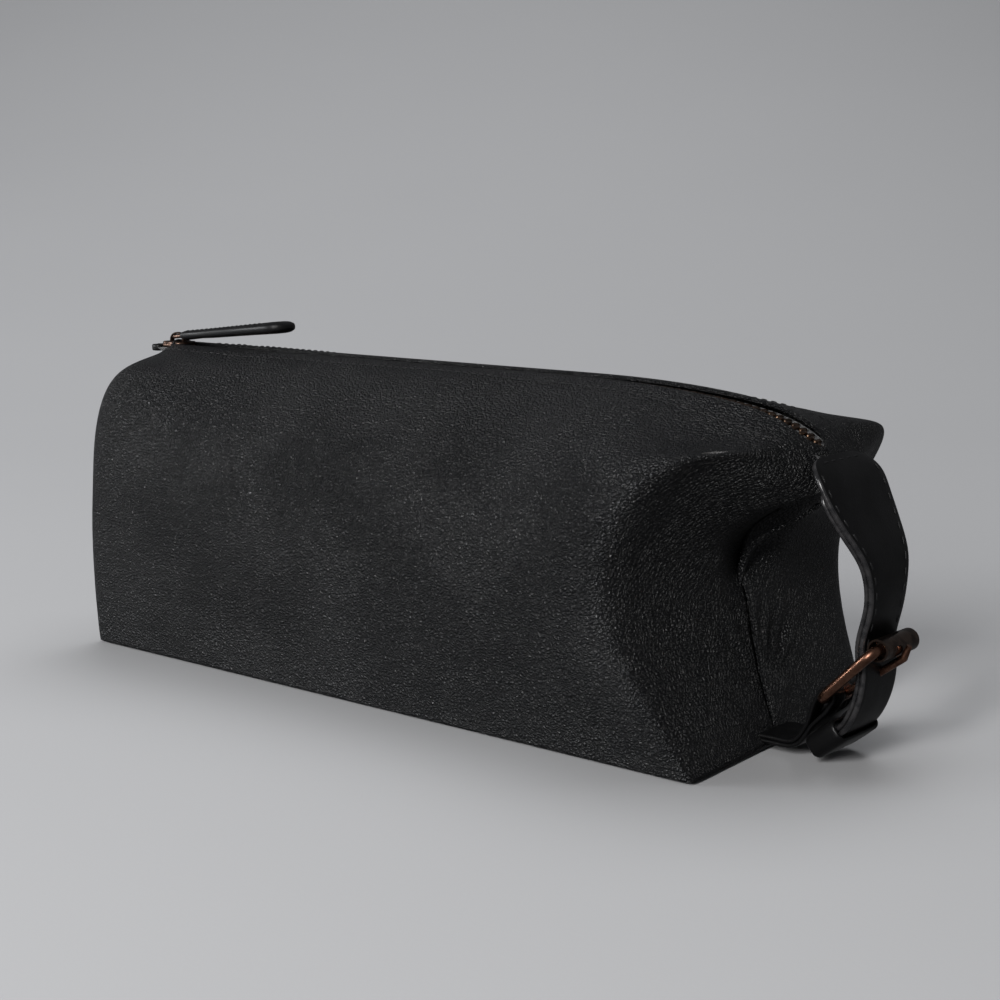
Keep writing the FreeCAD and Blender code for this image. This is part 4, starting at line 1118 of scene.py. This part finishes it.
def keeper():
    """The fixed loop round the strap's tail: a leather band bent to a soft rectangle."""
    place, tangent, _ = strap_at(6.5)
    inward = np.array([tangent[1], 0, -tangent[0]])
    along = np.array([tangent[0], 0, tangent[1]])
    centre = np.array([place[0], 0, place[1]]) + inward * 2.05
    half_y, half_d, corner, wall, half_band = 11.7, 3.25, 2.4, 1.5, 6.0
    path = []
    for cy, cd, start in ((1, 1, 0), (-1, 1, 90), (-1, -1, 180), (1, -1, 270)):
        for a in np.linspace(start, start + 90, 7):
            c, s = math.cos(math.radians(a)), math.sin(math.radians(a))
            path.append((cy * (half_y - corner) + corner * c, cd * (half_d - corner) + corner * s))
    count = len(path)
    sections = []
    for k in range(count):
        y, d = path[k]
        before, after = path[k - 1], path[(k + 1) % count]
        t = unit(np.array([after[0] - before[0], after[1] - before[1]]))
        out = np.array([t[1], -t[0]])
        ring = []
        for c, s in circle(20):
            w = 0.5 * wall * squarish(s, 0.7)
            b = half_band * squarish(c, 0.35)
            yy, dd = y + out[0] * w, d + out[1] * w
            ring.append(centre + np.array([0, yy, 0]) + inward * dd + along * b)
        sections.append(ring)
    return loft("keeper_leather", sections, STRAP, closed=True)


loop = keeper()
attach(loop, "bag", "strap_leather", "keeper_loop")

# ---------------------------------------------------------------- slider and pull

SLIDER_X = -157.0
PIVOT_LIFT = 4.6
PULL_TILT = math.radians(6)
PULL_START, PULL_LENGTH = 5.4, 61.0
PULL_ROOT, PULL_SWELL, PULL_MARGIN = 3.5, 3.35, 1.35     # half width, its growth, stitch inset


def slider_body():
    """Cast slider: two shield-shaped plates joined by flanges, and the bridge for the pull."""
    parts = []
    near, plate = 1.5, 1.2
    outline = []
    for t in np.linspace(0, 1, 15):
        x = -5.5 + 11.0 * t
        half = 3.5 + 1.1 * smooth(t / 0.55)
        outline.append((x, half))
    ring = [(x, -y) for x, y in outline] + [(x, y) for x, y in outline[::-1]]
    for sign in (1, -1):
        sections = []
        for z, grow in ((near, 0.985), (near + 0.25, 1.0), (near + plate - 0.4, 1.0), (near + plate, 0.93)):
            sections.append([(x * grow, y * grow, sign * z) for x, y in ring])
        parts.append(loft("plate", sections, SLIDER_METAL))
        for side in (-1, 1):
            flange = rounded_slab("flange", 5.0, 0.42, 0.55, 0.3, SLIDER_METAL, bevel=0.15)
            flange.data.transform(Matrix.Translation((0.2 * MM, side * 4.0 * MM, sign * 1.15 * MM)))
            parts.append(flange)
    # the bridge: an arch along the slider with the pin's eye in its middle
    sections = []
    for k in range(25):
        a = math.pi * k / 24
        cx, cz = -3.9 * math.cos(a), 2.55 + 3.45 * math.sin(a) ** 0.8
        tangent = unit(np.array([3.9 * math.sin(a) + 1e-6, 3.0 * math.cos(a)]))
        out = np.array([-tangent[1], tangent[0]])
        ring = []
        for c, s in circle(12):
            w = 0.42 * s
            ring.append((cx + out[0] * w, 1.15 * squarish(c, 0.6), cz + out[1] * w))
        sections.append(ring)
    parts.append(loft("bridge", sections, SLIDER_METAL))
    obj = join("slider_body", parts)
    place_on_chain(obj, SLIDER_X)
    shade(obj)
    return obj


slider = slider_body()
attach(slider, "zip_slider", "zip_metal", "zip_slider")


def pull_frame(obj):
    """Turn a piece drawn along +X from the pull's pin to its place at rest."""
    lift = Matrix.Translation((0, 0, PIVOT_LIFT * MM))
    obj.data.transform(lift @ Matrix.Rotation(-PULL_TILT, 4, "Y"))
    place_on_chain(obj, SLIDER_X)


def wire_loop(name, corners, radius, material, bend):
    """A closed wire through the corner points (mm), rounded at each corner."""
    pts = []
    count = len(corners)
    for k in range(count):
        p = np.array(corners[k], float)
        a, b = np.array(corners[k - 1], float), np.array(corners[(k + 1) % count], float)
        da, db = unit(a - p), unit(b - p)
        for t in np.linspace(0, 1, 7):
            q = (1 - t) ** 2 * (p + da * bend) + 2 * t * (1 - t) * p + t ** 2 * (p + db * bend)
            pts.append(q)
    pts = np.array(pts)
    n = len(pts)
    sections = []
    up = np.array([0.0, 0.0, 1.0])
    for k in range(n):
        t = unit(pts[(k + 1) % n] - pts[k - 1])
        side = unit(np.cross(t, up))
        top = np.cross(side, t)
        sections.append([pts[k] + radius * (side * math.cos(a) + top * math.sin(a))
                         for a in np.linspace(0, 2 * math.pi, 15)[:-1]])
    return loft(name, sections, material, closed=True)


link = wire_loop("pull_ring", [(0, -2.45, 0), (7.0, -2.45, 0), (7.0, 2.45, 0), (0, 2.45, 0)],
                 0.85, SLIDER_METAL, 1.1)
pull_frame(link)
attach(link, "zip_pull", "zip_metal", "zip_pull_link")


def pull_leather():
    """The pull: a strip doubled round the ring, waisted, swelling to a stuffed rounded tip."""
    sections = []
    for t in np.concatenate([[0, 0.004, 0.012, 0.025], np.linspace(0.05, 0.86, 26),
                             0.86 + 0.14 * np.sin(np.linspace(0.05, 1, 14) * math.pi / 2)]):
        x = PULL_START + PULL_LENGTH * t
        half_w = PULL_ROOT + 0.25 * math.exp(-(t / 0.05) ** 2) + PULL_SWELL * float(smooth((t - 0.15) / 0.70))
        half_h = 1.95 - 0.22 * math.exp(-((t - 0.16) / 0.08) ** 2) + 0.55 * t ** 2
        if t > 0.86:
            q = min((t - 0.86) / 0.14, 1.0)
            half_w *= math.sqrt(max(1 - q ** 2.4, 0.0)) * 0.96 + 0.04
            half_h *= math.sqrt(max(1 - q ** 2.8, 0.0)) * 0.9 + 0.10
        if t < 0.03:
            shrink = math.sqrt(1 - (1 - t / 0.03) ** 2) * 0.35 + 0.65
            half_h *= shrink
        ring = []
        for c, s in circle(36):
            y = half_w * squarish(c, 0.55)
            z = half_h * squarish(s, 0.75)
            groove = 0.16 * math.exp(-((abs(y) - (half_w - PULL_MARGIN)) / 0.32) ** 2)
            groove *= 1 if abs(s) > 0.2 else 0
            z -= math.copysign(groove, z)
            ring.append((x, y, z + 0.1))
        sections.append(ring)
    obj = loft("pull_leather", sections, PULL)
    pull_frame(obj)
    return obj


pull = pull_leather()
attach(pull, "zip_pull", "strap_leather", "zip_pull_tab")

pull_spots = []
for side in (-1, 1):
    for x in np.arange(9.0, 57.5, 2.9):
        t = (x - PULL_START) / PULL_LENGTH
        half = PULL_ROOT + PULL_SWELL * float(smooth((t - 0.15) / 0.70)) - PULL_MARGIN
        pull_spots.append(((x, side * half, 1.83 + 0.47 * t ** 2 + 0.1), (1, 0, 0), (0, 0, 1)))
pull_stitches = stitches("pull_stitches", pull_spots, THREAD, 2.0, 0.42, 0.42)
pull_frame(pull_stitches)
attach(pull_stitches, "zip_pull", "strap_leather")

# ---------------------------------------------------------------- studio


def backdrop():
    """A seamless sweep: floor, curve and wall, turned to face the camera."""
    start, radius = 0.55, 3.2
    profile = [(y, 0.0) for y in np.linspace(-3.0, start, 12)]
    for a in np.linspace(2, 42, 24):
        turn_up = math.radians(a)
        profile.append((start + radius * math.sin(turn_up), radius * (1 - math.cos(turn_up))))
    verts, faces = [], []
    xs = np.linspace(-5, 5, 12)
    turn = Matrix.Rotation(math.radians(40), 3, "Z")
    for y, z in profile:
        for x in xs:
            verts.append(turn @ Vector((x, y, z - 0.0004)))
    faces = grid_faces(len(profile), len(xs), 0, True)
    return mesh_object("studio_sweep", verts, faces, floor_with_painted_shade())


sweep = backdrop()
sweep.visible_glossy = False                  # dark leather would mirror the pale floor too strongly


def area_light(name, place, target, size, power, color=(1, 1, 1)):
    data = bpy.data.lights.new(name, "AREA")
    data.shape = "RECTANGLE"
    data.size, data.size_y = size
    data.energy = power
    data.color = color
    obj = bpy.data.objects.new(name, data)
    bpy.context.scene.collection.objects.link(obj)
    obj.location = place
    obj.rotation_euler = (Vector(target) - Vector(place)).to_track_quat("-Z", "Y").to_euler()
    return obj


area_light("key", (-1.46, -1.15, 0.46), (-0.08, -0.05, 0.07), (0.75, 0.5), 18, (0.96, 0.98, 1.0))
area_light("front", (0.30, -1.40, 0.76), (0.10, -0.05, 0.07), (0.30, 0.80), 25, (1.0, 0.99, 0.98))
overhead = area_light("overhead", (-0.40, 0.95, 2.2), (-0.1, 0.65, 0.0), (1.8, 1.8), 40, (0.985, 0.99, 1.0))
overhead.visible_glossy = False               # it lights the sweep without a sheen along the top

world = bpy.data.worlds.new("studio")
bpy.context.scene.world = world
world.use_nodes = True
world.node_tree.nodes["Background"].inputs["Color"].default_value = (0.84, 0.85, 0.88, 1)
world.node_tree.nodes["Background"].inputs["Strength"].default_value = 0.12

scene = bpy.context.scene
scene.view_settings.view_transform = "Standard"
scene.view_settings.look = "None"
scene.view_settings.exposure = 0.0
scene.view_settings.gamma = 1.0

CAMERA_PLACE = Vector((0.432, -0.498, 0.1756))
CAMERA_HEADING = (-0.642, 0.767)
CAMERA_PITCH = math.atan(310 / 1850)
camera_data = bpy.data.cameras.new("camera")
camera_data.sensor_width = 36.0
camera_data.lens = 66.6
camera_data.clip_start, camera_data.clip_end = 0.01, 50
camera = bpy.data.objects.new("camera", camera_data)
scene.collection.objects.link(camera)
camera.location = CAMERA_PLACE
heading = Vector((CAMERA_HEADING[0], CAMERA_HEADING[1], 0)).normalized()
aim = heading * math.cos(CAMERA_PITCH) - Vector((0, 0, math.sin(CAMERA_PITCH)))
camera.rotation_euler = aim.to_track_quat("-Z", "Y").to_euler()
scene.camera = camera
